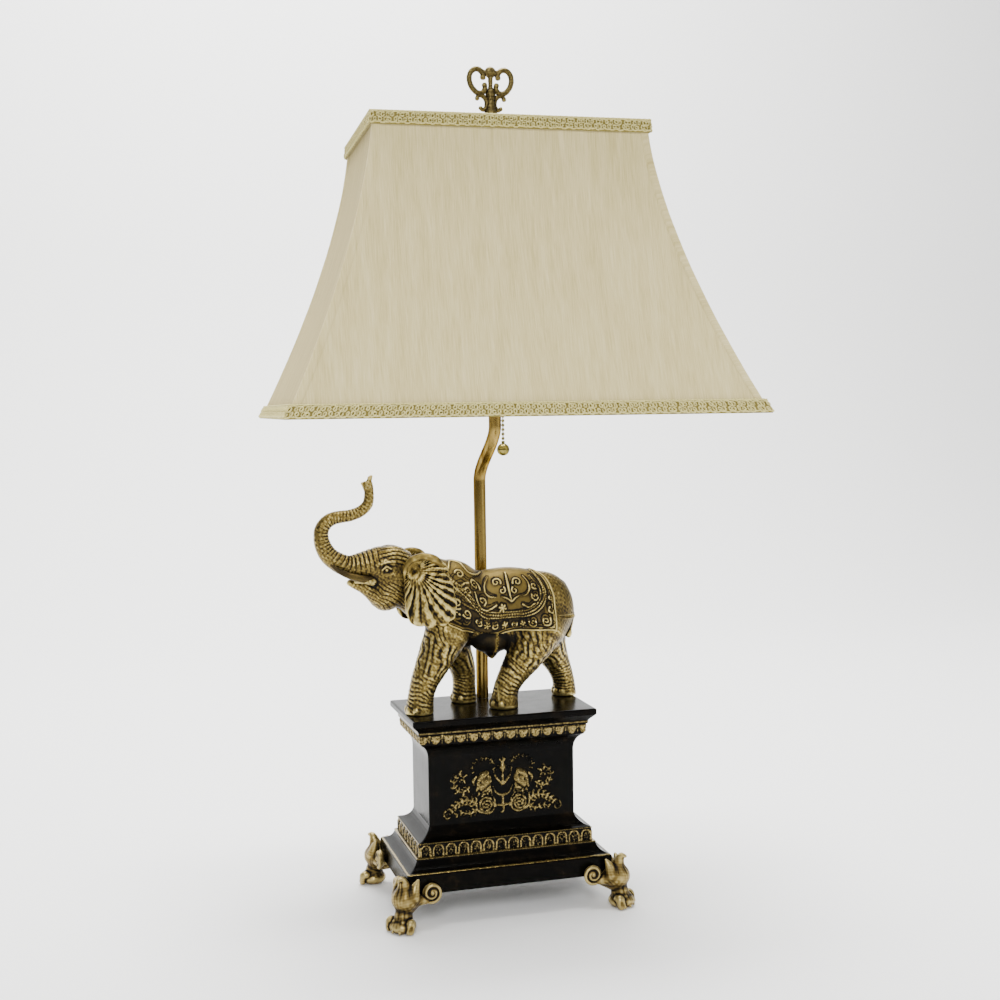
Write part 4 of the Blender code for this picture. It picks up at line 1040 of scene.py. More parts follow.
def grow(low, high, step, forms):
    # the field of all the forms on a grid: joined ones by a smooth minimum, cut ones by a smooth maximum
    axes = [np.arange(a, b + step, step) for a, b in zip(low, high)]
    field = np.full([len(axis) for axis in axes], 12.0, np.float32)
    for distance, near, far, blend, cut in forms:
        some = tuple(
            slice(
                max(0, np.searchsorted(axis, a - blend - 2 * step)),
                np.searchsorted(axis, b + blend + 2 * step)
            )
            for axis, a, b in zip(axes, near, far)
        )
        if any(s.stop <= s.start for s in some):
            continue
        grid = np.meshgrid(*[axis[s] for axis, s in zip(axes, some)], indexing="ij", sparse=True)
        new = np.asarray(distance(*grid), np.float32)
        old = field[some]
        if cut:
            old, new = -old, new
        if blend:
            h = np.clip(0.5 + 0.5 * (old - new) / blend, 0, 1)
            new = old + (new - old) * h - blend * h * (1 - h)
        else:
            new = np.minimum(old, new)
        field[some] = -new if cut else new
    return axes, field


def skin(axes, field):
    # surface nets: one point in each cell that the surface crosses, at the mean of the crossed edges,
    # and one quad for each crossed grid edge
    field = np.pad(field, 1, constant_values=12.0)
    inside = field < 0
    n = np.array(inside.shape) - 1
    corners = np.array(list(product((0, 1), repeat=3)))
    total = sum(
        inside[a : a + n[0], b : b + n[1], c : c + n[2]].astype(np.int8) for a, b, c in corners
    )
    cells = np.argwhere((total > 0) & (total < 8))
    number = np.full(n, -1, np.int32)
    number[tuple(cells.T)] = np.arange(len(cells))
    place, count = np.zeros((len(cells), 3)), np.zeros(len(cells))
    for a in corners:
        for b in corners:
            if (b - a).sum() == 1 and np.abs(b - a).sum() == 1:
                fa, fb = field[tuple((cells + a).T)], field[tuple((cells + b).T)]
                crossed = (fa < 0) != (fb < 0)
                t = np.where(crossed, fa / np.where(crossed, fa - fb, 1), 0)
                place += (cells + a + (b - a) * t[:, None]) * crossed[:, None]
                count += crossed
    place /= count[:, None]
    faces = []
    for axis in range(3):
        others = [(axis + 1) % 3, (axis + 2) % 3]
        low = [slice(1, -1)] * 3
        high = [slice(1, -1)] * 3
        low[axis], high[axis] = slice(0, -1), slice(1, None)
        changed = np.argwhere(inside[tuple(low)] != inside[tuple(high)])
        spot = changed + 1
        spot[:, axis] -= 1
        out = inside[tuple(spot.T)]
        quad = []
        for first, second in ((-1, -1), (0, -1), (0, 0), (-1, 0)):
            cell = spot.copy()
            cell[:, others[0]] += first
            cell[:, others[1]] += second
            quad.append(number[tuple(cell.T)])
        quad = np.stack(quad, 1)
        faces.append(np.where(out[:, None], quad, quad[:, ::-1]))
    step = axes[0][1] - axes[0][0]
    origin = np.array([axis[0] for axis in axes]) - step
    return (origin + place * step) * mm, np.concatenate(faces)


def eased(bit, rounds=2, share=0.5):
    # a few rounds of averaging take the grid's terraces out of a grown skin
    points, faces = bit
    a = faces.ravel()
    b = np.roll(faces, -1, 1).ravel()
    count = np.bincount(a, minlength=len(points)) + np.bincount(b, minlength=len(points))
    for _ in range(rounds):
        average = np.stack(
            [np.bincount(a, c[b], len(points)) + np.bincount(b, c[a], len(points)) for c in points.T], -1
        )
        points = points + share * (average / np.maximum(count, 1)[:, None] - points)
    return points, faces


def swell(made, amount):
    # moves each vertex along its normal; amount is a function of the vertices (mm) and gives mm
    points = vertexArray(made)
    normals = np.zeros(len(points) * 3)
    made.data.vertex_normals.foreach_get("vector", normals)
    normals = normals.reshape(-1, 3)
    points += normals * (amount(points / mm, normals) * mm)[:, None]
    made.data.vertices.foreach_set("co", points.ravel())
    made.data.update()
    return points / mm


def ripple(p, scale, seed):
    # smooth random hills from -1 to 1: seven plane waves of about that length (mm), in random directions
    dice = np.random.default_rng(seed)
    ways = dice.normal(size=(7, 3))
    ways /= np.linalg.norm(ways, axis=1)[:, None]
    ways *= (2 * np.pi / scale) * dice.uniform(0.75, 1.35, 7)[:, None]
    return np.sin(p @ ways.T + dice.uniform(0, 6.28, 7)).sum(1) / 3.2


def groove(phase, sharpness=2.0):
    # thin valleys, -1 at whole numbers and near 0 between them
    return -(np.clip(1 - np.abs(np.sin(np.pi * phase)), 0, 1) ** sharpness)


def nearestOn(p, path):
    # for each point: mm along the path to its foot, mm from it, and the angle round it from the +y side
    tangent = np.gradient(path, axis=0)
    tangent /= np.linalg.norm(tangent, axis=1)[:, None]
    length = np.concatenate([[0], np.cumsum(np.linalg.norm(np.diff(path, axis=0), axis=1))])
    i = np.empty(len(p), int)
    for some in np.array_split(np.arange(len(p)), 1 + len(p) * len(path) // 3000000):
        i[some] = ((p[some, None] - path[None]) ** 2).sum(-1).argmin(1)
    away = p - path[i]
    along = (away * tangent[i]).sum(1)
    away = away - along[:, None] * tangent[i]
    side = np.cross(tangent[i], [0, 1, 0])
    return length[i] + along, np.linalg.norm(away, axis=1), np.arctan2((away * side).sum(1), away[:, 1])


def fade(value, zero, one):
    # 0 at `zero`, 1 at `one`, eased between and held beyond
    t = np.clip((value - zero) / (one - zero), 0, 1)
    return t * t * (3 - 2 * t)


# Elephant

mid = -1.5
legs = dict(
    nearFront=(
        [(-52, -12, 250), (-65, -15, 226), (-74, -16, 208), (-77.5, -16, 195), (-79, -16, 181)],
        [20, 15.5, 12.6, 11.8, 12.8]
    ),
    farFront=(
        [(-46, 8, 246), (-35, 16, 226), (-28.5, 20, 209), (-27.5, 21, 195), (-28, 21, 181)],
        [18, 14, 11.5, 10.8, 12.0]
    ),
    nearRear=(
        [(38, -10, 252), (23, -14, 228), (9, -16, 209), (2.5, -16, 196), (0.5, -16, 181)],
        [24, 17.5, 13.0, 11.6, 13.2]
    ),
    farRear=(
        [(46, 8, 248), (57, 14, 223), (66, 18, 206), (70.5, 20, 193), (71, 20, 181)],
        [21, 14.5, 11.2, 10.4, 11.6]
    ),
)
trunk = dict(
    path=[
        (-112, 316), (-126, 314.5), (-138, 314), (-147.4, 318), (-155.9, 324.4), (-160.9, 333.1),
        (-162.7, 341.8), (-161.4, 349.4), (-155.2, 356), (-146.6, 358.6), (-137.1, 359.7),
        (-127.5, 362.8), (-120.4, 368.6), (-118.9, 374.5), (-118.6, 380.6), (-119.6, 386),
    ],
    radii=[15, 12.2, 10, 9, 8.2, 7.5, 6.9, 6.5, 6.1, 5.7, 5.4, 5.1, 4.8, 4.6, 4.4, 4.6],
)
trunkLine = [(x, mid, z) for x, z in trunk["path"]]
eye = dict(x=-106.8, z=311.2)
# the belly cloth: a pad between the legs that hangs to a point
pad = dict(centre=(-7, mid, 245.5), radii=(22.5, 20.2, 17.4))


bodyForms = [
    ball((6, mid, 268.5), (62, 23.5, 37.6), blend=5),
    ball((-44, mid, 279), (31, 23.2, 36), blend=5),
    ball((42, mid, 266), (31, 23, 35.5), blend=5),
    ball((-70, mid, 292), (29, 19.5, 29), -12, blend=6),
]
for path, radii in legs.values():
    bodyForms.append(rope(path, radii, blend=6))
    foot = path[-1]
    for turn in (-62, -22, 18, 58):
        # a toenail: a flat egg on the foot's front, half sunk in it
        a = math.radians(turn)
        reach = radii[-1] - 1.0
        spot = (foot[0] - reach * math.cos(a), foot[1] + reach * math.sin(a), 183.6)
        bodyForms.append(ball(spot, (1.9, 3.0, 3.8), turn=-turn, blend=0.5))
bodyForms += [
    rope(
        [
            (62, mid, 288), (68.6, mid - 0.5, 276), (71.2, mid - 1.5, 264), (70.6, mid - 3, 254),
            (67.8, mid - 5, 247)
        ],
        [4, 2.8, 2.4, 2.1, 2.4], blend=2.4
    ),
    ball((66.8, mid - 5.6, 243.2), (3.4, 3.2, 4.9), blend=0.8),
    ball((71.6, mid - 2, 258.4), (3.2, 3.4, 2.5), blend=0.5),
]
headForms = [
    ball((-98, mid, 307.5), (22.5, 18.5, 23.5), blend=4),
    ball((-101, mid, 292), (21, 17.5, 17), -38, blend=5),
    rope(trunkLine, trunk["radii"], blend=5, count=34),
    rope([(-119.6, mid, 385), (-119.2, mid, 390), (-116.6, mid, 394)], [4.0, 3.2, 1.7], blend=1.5, count=6),
    rope([(-120, mid, 384.5), (-122.6, mid, 386), (-124.6, mid, 388)], [3.2, 2.2, 1.5], blend=1.0, count=5),
    ball((-120.6, mid, 390.4), (1.5, 2.4, 3.2), blend=1.0, cut=True),
    rope(
        [(-137.5, mid, 299.2), (-130, mid, 297), (-122, mid, 294.5), (-106, mid, 286)], [3.0, 5.2, 7.6, 13],
        blend=3, count=10
    ),
    ball((-131.5, mid, 303.4), (11.5, 15, 1.55), 3, blend=0.8, cut=True),
]
for side in (-1, 1):
    headForms += [
        # eye socket, eyeball, lids and brow
        ball((-107.4, mid + side * 18.6, 310.8), (5.4, 2.2, 3.0), blend=2.5, cut=True),
        ball((eye["x"], mid + side * 14.9, eye["z"]), (2.6, 2.5, 1.9), blend=0.3),
        rope(
            [
                (-110.6, mid + side * 15.9, 311.6), (-107.4, mid + side * 17.4, 314.2),
                (-103.2, mid + side * 16.9, 312.2)
            ],
            [0.7, 1.0, 0.7], blend=0.7, count=8
        ),
        rope(
            [
                (-114.6, mid + side * 13.8, 316.4), (-108, mid + side * 16.2, 318.6),
                (-100, mid + side * 16.4, 317.4)
            ],
            [1.4, 2.1, 1.4], blend=2.5, count=8
        ),
        rope(
            [
                (-119, mid + side * 10.5, 300.5), (-127, mid + side * 10.5, 301.6),
                (-134, mid + side * 8, 300.8)
            ],
            [3.6, 2.6, 1.4], blend=2, count=8
        ),
        # the temple's hollow, and the skull's two domes
        ball((-94, mid + side * 20.5, 313), (7, 3, 6), blend=3, cut=True),
        ball((-99, mid + side * 7, 322), (13, 9, 9.5), 12, blend=3),
    ]
girthForms = [
    ball(pad["centre"], pad["radii"], blend=0.8),
    rope([(-7, mid, 235), (-6.8, mid, 229.5), (-6.5, mid, 224.6)], [9.0, 6.0, 2.4], blend=2.0, count=8),
]
stemSpace = rope([(-7, 31, 170), (-7, 31, 300)], [6.5, 6.5], blend=0, count=2, cut=True)
underPlate = block((-200, -100, 100), (200, 100, 179.7), cut=True)


def padShare(p):
    # how far a point belongs to the belly's cloth: near its ellipsoid, or on the point below it
    x, z = p[:, 0], p[:, 2]
    egg = np.sqrt((((p - pad["centre"]) / pad["radii"]) ** 2).sum(-1))
    tip = fade(np.abs(x + 7), 11, 9) * fade(z, 232, 230) * fade(z, 216, 219)
    return np.maximum(fade(egg, 1.12, 1.05), tip) * fade(z, 251, 248)


def gold(name, low, high, step, forms, relief, **options):
    # one grown and worked piece of the figure
    axes, field = grow(low, high, step, forms)
    made = piece(name, [eased(skin(axes, field))], figureGold, slot="gold_resin", sharp=52, **options)
    swell(made, lambda p, n: relief(p, n) * (1 - 0.9 * padShare(p)))
    p = vertexArray(made) / mm
    pupil = fade(np.hypot(p[:, 0] - eye["x"], 1.3 * (p[:, 2] - eye["z"])), 2.4, 1.4)
    # the black wash darkens the hollows; on top of it painted shade darkens the belly pad under the body,
    # and the pupil is a little darker
    setAttribute(made, "wash", hollowness(made.data, 9) + 0.27 * padShare(p) + 0.05 * pupil)


trunkPath = smoothPath(np.array(trunkLine), 110)
legPaths = {name: smoothPath(np.array(path, float), 50) for name, (path, radii) in legs.items()}


def hideMarks(p):
    # the hide's own fine pebbling
    return 0.10 * ripple(p, 3.1, 11) + 0.06 * ripple(p, 1.7, 12)


def trunkHand(s):
    # which side of the trunk is the inner one: it bends one way to its top, and then the other way
    return np.interp(s, [0, 88, 104, 140], [1, 1, -1, -1])


def headRelief(p, n):
    s, away, angle = nearestOn(p, trunkPath)
    onTrunk = fade(p[:, 0] + 0.35 * (p[:, 2] - 316), -104, -113) * fade(away, 20, 16)
    pitch = np.interp(s, [0, 60, 140], [5.0, 4.0, 3.3])
    turns = s / pitch + 0.16 * np.sin(2 * angle) + 0.28 * ripple(p, 26, 3)
    inner = np.clip(0.55 - 0.75 * np.sin(angle) * trunkHand(s), 0.08, 1.3)
    rings = groove(turns, 2.2) * np.interp(s, [0, 20, 120, 145], [0.62, 0.70, 0.42, 0.15]) * inner
    fine = groove(turns * 2 + 0.3 + 0.2 * ripple(p, 8, 4), 1.6) * 0.18 * inner
    # hatched folds on the cheek and the jaw run back and down; rings of folds surround the eye
    hatch = groove((0.84 * (p[:, 2] - 290) + 0.54 * (p[:, 0] + 110)) / 3.3 + 0.35 * ripple(p, 14, 5), 2.0)
    cheek = fade(p[:, 2], 302, 296) * fade(p[:, 0], -128, -120) * np.clip(np.abs(n[:, 1]) * 1.6, 0, 1)
    gap = np.hypot(0.75 * (p[:, 0] - eye["x"]), 1.2 * (p[:, 2] - eye["z"]))
    lids = groove(gap / 3.0 + 0.45 * ripple(p, 9, 6), 1.8) * fade(gap, 12, 8) * fade(gap, 4.2, 5.6)
    brow = groove((p[:, 2] + 0.013 * (p[:, 0] + 101) ** 2) / 3.3 + 0.16 * ripple(p, 18, 8), 1.8)
    top = fade(p[:, 2], 312, 316) * fade(p[:, 0], -119, -111)
    neck = groove(
        (p[:, 0] + 0.4 * (p[:, 2] - 290)) / 5.4 + 0.4 * ripple(p, 20, 9), 2.4
    ) * fade(p[:, 0], -96, -88)
    off = 1 - onTrunk
    return (
        onTrunk * (rings + fine)
        + off * (
            0.46 * cheek * hatch + 0.09 * lids * (np.abs(n[:, 1]) > 0.4) + 0.62 * top * brow + 0.5 * neck
        )
        + hideMarks(p)
    )


def bodyRelief(p, n):
    out = hideMarks(p)
    for name, path in legPaths.items():
        s, away, angle = nearestOn(p, path)
        limit = np.interp(s, [0, 30, 60, 80], [24, 21, 17.5, 16])
        near = fade(away, limit + 3, limit - 1) * fade(s, 4, 14)
        low = fade(s, 34, 48)
        wander = ripple(p, 17, 21 + len(name))
        patchy = np.clip(0.75 + 0.5 * ripple(p, 13, 71), 0.15, 1.2)
        pleat = angle * 2.4 + 0.34 * wander + s / 24
        long = (0.2 * np.cos(2 * np.pi * pleat) + 0.33 * groove(pleat + 0.5, 1.6)) * (1 - low) * patchy
        turns = s / 3.5 + 0.35 * angle + 0.25 * np.sin(2 * angle) + 0.45 * wander
        rings = (
            0.12 * np.cos(2 * np.pi * turns) + 0.25 * groove(turns + 0.5, 1.7)
        ) * low * fade(s, 73, 68) * patchy
        out = out + near * (long + rings)
    # slack folds: down the chest and the flank, and round the buttock
    chest = fade(p[:, 0], -52, -62) * fade(p[:, 2], 236, 246)
    flank = fade(np.abs(p[:, 0] - 20), 24, 12) * fade(p[:, 2], 256, 246) * fade(p[:, 2], 226, 232)
    fold = groove((p[:, 0] + 0.35 * (p[:, 2] - 250)) / 5.2 + 0.45 * ripple(p, 22, 31), 2.2)
    return out + 0.6 * chest * fold + 0.35 * flank * fold


neckCut = block((-200, -100, 257), (-80.6, 100, 400), 0.1, cut=True)
headClip = [
    block((-78.9, -100, 200), (0, 100, 420), 0.1, cut=True),
    block((-200, -100, 200), (0, 100, 256.2), 0.1, cut=True)
]
gold(
    "elephantHead", (-169, -27, 255), (-78, 24, 397), 0.61, bodyForms[3:4] + headForms + headClip,
    headRelief,
    replaces=["elephant_figure"],
)
sharedForms = bodyForms + headForms[:2] + girthForms
gold(
    "elephantForequarters", (-96, -38, 179), (-5.2, 35, 326), 0.86,
    sharedForms + [neckCut, stemSpace, underPlate, block((-6.0, -99, 100), (99, 99, 400), 0.1, cut=True)],
    bodyRelief,
)
gold(
    "elephantHindquarters", (-8, -38, 179), (86, 35, 310), 0.86,
    sharedForms + [stemSpace, underPlate, block((-99, -99, 100), (-7.2, 99, 400), 0.1, cut=True)],
    bodyRelief,
)
print("elephant's body made")

tuskBits = []
for side in (-1, 1):
    knots = [
        (-120, mid + side * 9.6, 302.2), (-130, mid + side * 11.6, 304), (-140, mid + side * 12.0, 307),
        (-149, mid + side * 11.2, 311.6), (-156.4, mid + side * 9.6, 317.6)
    ]
    path = smoothPath(np.column_stack([knots, [3.6, 3.3, 2.9, 2.2, 0.9]]), 40)
    tuskBits.append(sweep(path[:, :3] * mm, path[:, 3] * mm, 20))
tusks = piece("elephantTusks", tuskBits, figureGold, slot="gold_resin")
setAttribute(tusks, "wash", 0.02 + 0.03 * np.sin(vertexArray(tusks)[:, 0] / (5 * mm)))

# Ears: seen from the side, each is its outline drawn towards a hub; folds fan out of the hub
earOutline = np.array([
    (-80.6, 323.4), (-87.5, 319.4), (-91.2, 311.7), (-92.4, 301), (-92.6, 290.6), (-92.0, 279),
    (-90.4, 268.8),
    (-86.6, 262.6), (-81.0, 260.2), (-75.4, 260.4), (-69.0, 258.6), (-63.6, 260.8), (-57.4, 259.8),
    (-52.6, 264),
    (-48.8, 266.4), (-47.8, 272.8), (-46.4, 279.6), (-48.2, 287.4), (-49.4, 296.4), (-52.8, 303.4),
    (-54.6, 312.4),
    (-59.2, 317.6), (-65.4, 322.0), (-73.0, 324.2),
])
hub = np.array([-84.0, 311.0])


def earAt(side, r, theta, under):
    # r runs from the hub to the edge; the fan leans out to the back, and its folds are round-backed
    closed = np.vstack([earOutline, earOutline[:1]])
    loop = smoothPath(closed, 200)
    loopAngles = np.unwrap(np.arctan2(*(loop - hub).T[::-1]))
    order = np.argsort(loopAngles)
    span = np.hypot(*(loop - hub).T)
    wanted = loopAngles[order][0] + theta
    reach = np.interp(wanted, loopAngles[order], span[order])
    x = hub[0] + r * reach * np.cos(wanted)
    z = hub[1] + r * reach * np.sin(wanted)
    way = np.mod(wanted, 2 * np.pi)
    # folds fan from the front of the bottom round to the back of the top, soft-backed and uneven
    turnWay = np.where(way < 2, way + 2 * np.pi, way)
    fan = fade(turnWay, 3.3, 3.9) * fade(turnWay, 7.3, 6.7) * fade(r, 0.08, 0.4)
    phase = (turnWay - 3.85) / 0.18 + 0.34 * np.sin(
        4 * r + 2.3 * turnWay
    ) + 0.40 * np.sin(4.3 * turnWay + 1)
    fold = 0.5 - 0.5 * np.cos(2 * np.pi * phase)
    crease = groove(phase, 1.6)
    depth = 1.9 * np.clip(r, 0, 1) ** 0.7
    base = 22.6 + 0.20 * (x + 92.5) + 1.6 * np.sin(np.pi * np.clip(r, 0, 1)) - 1.2 * (1 - r) ** 2
    base = base + 1.3 * r**3 * np.sin(3 * turnWay + 0.4)
    base = base - 3.6 * np.exp(-(((x + 83) / 5.2) ** 2 + ((z - 311) / 5.5) ** 2))
    upper = fade(turnWay, 2.2, 2.7) * fade(turnWay, 3.7, 3.3) + fade(turnWay, 6.3, 6.8)
    base = base + 2.0 * np.exp(-(((1 - r) / 0.16) ** 2)) * np.clip(upper, 0, 1)
    small = 0.30 * np.sin(2 * np.pi * phase * 2 + 9 * r) + 0.16 * np.sin(2 * np.pi * phase * 3.4 + 14 * r)
    relief = fan * (depth * (fold - 0.5) + 0.4 * crease + small * r)
    edge = np.clip((1 - r) / 0.06, 0, 1) ** 0.5
    y = base + np.where(under, -2.6 + 0.8 * relief * edge, relief * edge - 1.3 * (1 - edge))
    return np.stack([x, mid + side * y, z], -1)


def makeEar(side, name):
    theta = np.linspace(0, 2 * np.pi, 330, endpoint=False)
    r = np.concatenate([[0.0], np.linspace(0.02, 0.94, 56), [0.955, 0.97, 0.982, 0.992, 1.0]])
    gr, gt = np.meshgrid(r, theta, indexing="ij")
    over = earAt(side, gr, gt, False)
    under = earAt(side, gr, gt, True)
    made = piece(
        name,
        [gridBit(np.concatenate([over, under[::-1]]) * mm, False, True)],
        figureGold,
        slot="gold_resin",
        sharp=75,
    )
    swell(made, lambda p, n: 0.16 * ripple(p, 2.6, 41) + 0.34 * ripple(p, 7, 42))
    setAttribute(made, "wash", 0.62 * hollowness(made.data, 8) - 0.10)


for side, name in ((-1, "elephantEarNear"), (1, "elephantEarFar")):
    makeEar(side, name)
    # the rolled upper edge, which turns forward over the fan
    knots = [
        (-91.6, 20.6, 304), (-91.4, 22.4, 311.8), (-88.0, 24.6, 318.6), (-81.2, 26.6, 322.6),
        (-73.2, 28.4, 323.0), (-65.2, 30.2, 319.6), (-58.2, 30.6, 313.4)
    ]
    path = smoothPath(
        np.column_stack(
            [[(x, mid + side * y, z) for x, y, z in knots], [1.3, 2.3, 2.8, 2.9, 3.2, 3.6, 1.2]]
        ),
        60
    )
    roll = piece(
        f"{name}Roll", [sweep(path[:, :3] * mm, path[:, 3] * mm, 16, up=(0, 0.02, 1))], figureGold,
        slot="gold_resin"
    )
    setAttribute(roll, "wash", 0.08 * ripple(vertexArray(roll) / mm, 6, 44) - 0.1)
print("elephant's ears made")


# Caparison: a sheet laid on the back, found by walking out from the body's axis to its skin


def bodyField(x, y, z):
    best = np.full(np.broadcast(x, y, z).shape, 12.0)
    for distance, near, far, blend, cut in bodyForms[:4] + [rope(*legs[name], blend=6) for name in legs]:
        new = distance(x, y, z)
        h = np.clip(0.5 + 0.5 * (best - new) / blend, 0, 1)
        best = best + (new - best) * h - blend * h * (1 - h)
    return best


slices = np.linspace(-60, 76, 69)
turns = np.radians(np.linspace(-128, 128, 129))
reach = np.full((len(slices), len(turns)), 50.0)
gx, gt = slices[:, None] + 0 * turns, turns[None] + 0 * slices[:, None]
for _ in range(34):
    reach = reach - 0.72 * bodyField(gx, mid + reach * np.sin(gt), 266 + reach * np.cos(gt))
for _ in range(3):
    reach[:, 1:-1] = (reach[:, :-2] + 2 * reach[:, 1:-1] + reach[:, 2:]) / 4
    reach[1:-1] = (reach[:-2] + 2 * reach[1:-1] + reach[2:]) / 4


def onBack(x, v, proud):
    # the skin's point at x whose length from the spine, round the body, is v; lifted by `proud`
    ring = np.stack([mid + reach * np.sin(turns), 266 + reach * np.cos(turns)], -1)
    step = np.linalg.norm(np.diff(ring, axis=1), axis=2)
    length = np.concatenate([np.zeros((len(slices), 1)), np.cumsum(step, 1)], 1)
    length -= length[:, [len(turns) // 2]]
    where = np.clip((x - slices[0]) / (slices[1] - slices[0]), 0, len(slices) - 1.001)
    i, f = where.astype(int), where - where.astype(int)
    out = np.zeros(x.shape + (2,))
    for k, share in ((i, 1 - f), (i + 1, f)):
        flat = np.zeros(x.shape + (2,))
        for row in np.unique(k):
            some = k == row
            angle = np.interp(v[some], length[row], turns)
            r = np.interp(angle, turns, reach[row])
            flat[some] = np.stack([r, angle], -1)
        out += share[..., None] * flat
    r, angle = out[..., 0] + proud, out[..., 1]
    return np.stack([x, mid + r * np.sin(angle), 266 + r * np.cos(angle)], -1)


sideHeights = np.array([307, 303, 300, 295, 290, 285, 280, 275, 270, 265, 260, 255, 252, 249])
sideLengths = np.array([0, 9, 15.6, 22, 27.5, 33, 38, 43, 47.8, 52.7, 57.8, 63, 66, 69])


def down(z):
    # a height seen from the side, as a length round the body from the spine
    return np.interp(-np.asarray(z, float), -sideHeights, sideLengths)


def hemAt(x):
    z = np.interp(
        x, [-56, -53, -41.3, -23.5, -5.6, 14.3, 46.4], [262, 258.8, 254.3, 255, 250.8, 251.6, 251]
    )
    # the shoulder stands further out than the flank does, so that the way down to the hem is longer there
    return down(z) + np.interp(x, [-56, -40, -22, 0, 20, 46], [9, 8, 5, 0, -2.4, -3.2])


def rearAt(v):
    return np.interp(v, [0, 6, 14, 22, 33, 50, 69], [31.4, 36, 42.5, 46, 48.4, 48, 46.4])


def xv(knots, thick, count=40, taper=(1, 1, 1)):
    # a stroke given by side view knots (x, z), laid out as (x, length from the spine)
    knots = np.array(knots, float)
    return stroke(np.column_stack([knots[:, 0], down(knots[:, 1])]), thick, count, taper)


def curl(x, z, start, turnCount, big, small, thick, hand=1):
    return spiral(x, float(down(z)), start, turnCount, big, small, thick, -hand)


arcLine = [
    (-58, 297), (-51, 288.4), (-42.6, 281), (-32.6, 274.6), (-21, 269.4), (-8, 265.8), (5, 264.6),
    (18, 266), (29, 270.6), (36.6, 278), (39.6, 287), (37.6, 295.6), (31, 303)
]
saddleStrokes = [
    # the arc band's two rims
    xv(arcLine, 0.85, 90),
    xv(
        [(x + 1.6, z + 4.6) for x, z in arcLine[:6]] + [
            (5, 269.2), (16.6, 270.4), (26, 274.4), (32.4, 280.6), (35, 287.4), (33.2, 294.4), (27, 301)
        ],
        0.75, 90
    ),
    # the medallion: facing curls over a pointed drop
    curl(-6.5, 296, 20, 1.25, 4.6, 0.9, 1.0), curl(13.5, 295.4, 160, 1.25, 4.6, 0.9, 1.0, -1),
    curl(-1.5, 288.4, -60, 1.1, 3.3, 0.8, 0.85, -1), curl(10.0, 288.0, 240, 1.1, 3.3, 0.8, 0.85),
    xv([(4, 302), (4, 297), (4.4, 291), (5, 285), (6.5, 279.5)], 1.2, taper=(0.6, 1.2, 0.5)),
    xv([(-3, 283.5), (2, 281.5), (6.5, 278.8), (10.4, 281.6), (15, 284)], 0.9, taper=(0.4, 1.1, 0.4)),
    xv([(-13, 301), (-17, 296), (-17.6, 290.5), (-14, 286), (-8, 284)], 0.9, taper=(0.6, 1, 0.4)),
    xv([(20, 300.4), (24, 295.6), (24.6, 290), (21, 285.4), (15.4, 283.4)], 0.9, taper=(0.6, 1, 0.4)),
    curl(-27, 292.4, 10, 1.4, 5.0, 0.9, 1.0), curl(-40.5, 296, 190, 1.4, 4.6, 0.9, 1.0, -1),
    curl(-33.6, 283.4, 80, 1.3, 4.0, 0.8, 0.95, -1), curl(-20.6, 282.6, 60, 1.2, 3.6, 0.8, 0.9),
    curl(29.6, 284.6, 200, 1.3, 3.8, 0.8, 0.9), curl(29.2, 293.6, 60, 1.1, 3.0, 0.8, 0.85, -1),
    xv([(-50, 300), (-46, 305), (-38, 304), (-32, 300), (-24, 301.5), (-18, 304.6)], 0.9),
    xv([(-46, 288), (-41, 286), (-37, 288.5), (-33, 290.5)], 0.8),
    xv([(-27, 286), (-24, 277.5), (-16, 274.6), (-8, 277)], 0.85),
    xv([(17, 276), (23, 274.4), (28, 278)], 0.85),
    blossom(-2.5, float(down(273.4)), 3.6, 6), blossom(29.5, float(down(276.4)), 2.6, 6),
    blossom(-44, float(down(282.4)), 2.6, 6),
    # the outer field: curls and blossoms in a row over the hem, and bigger ones in the corners
    curl(-45, 270.4, 60, 1.5, 5.6, 0.9, 1.1, -1), curl(-35.2, 262.6, 150, 1.4, 4.4, 0.9, 1.0),
    curl(-24.6, 261.6, -40, 1.25, 3.2, 0.8, 0.9, -1), blossom(-16.6, float(down(261.0)), 3.0, 6),
    curl(-8.6, 258.6, 200, 1.25, 2.9, 0.8, 0.85), blossom(-0.2, float(down(258.0)), 3.2, 6),
    curl(8.4, 258.2, -20, 1.25, 2.9, 0.8, 0.85, -1), blossom(16.4, float(down(258.8)), 3.0, 6),
    curl(25.4, 260.8, 190, 1.3, 3.8, 0.8, 0.95), curl(36.6, 262.4, -30, 1.45, 5.0, 0.9, 1.05, -1),
    curl(43.4, 272.8, 250, 1.3, 3.2, 0.8, 0.9), curl(44, 284, 250, 1.1, 2.0, 0.7, 0.75),
    xv([(-52, 279), (-51.4, 272), (-49, 265.4), (-42, 260.4)], 0.85),
    xv([(30, 256.6), (38, 255.4), (43.6, 258)], 0.8),
]


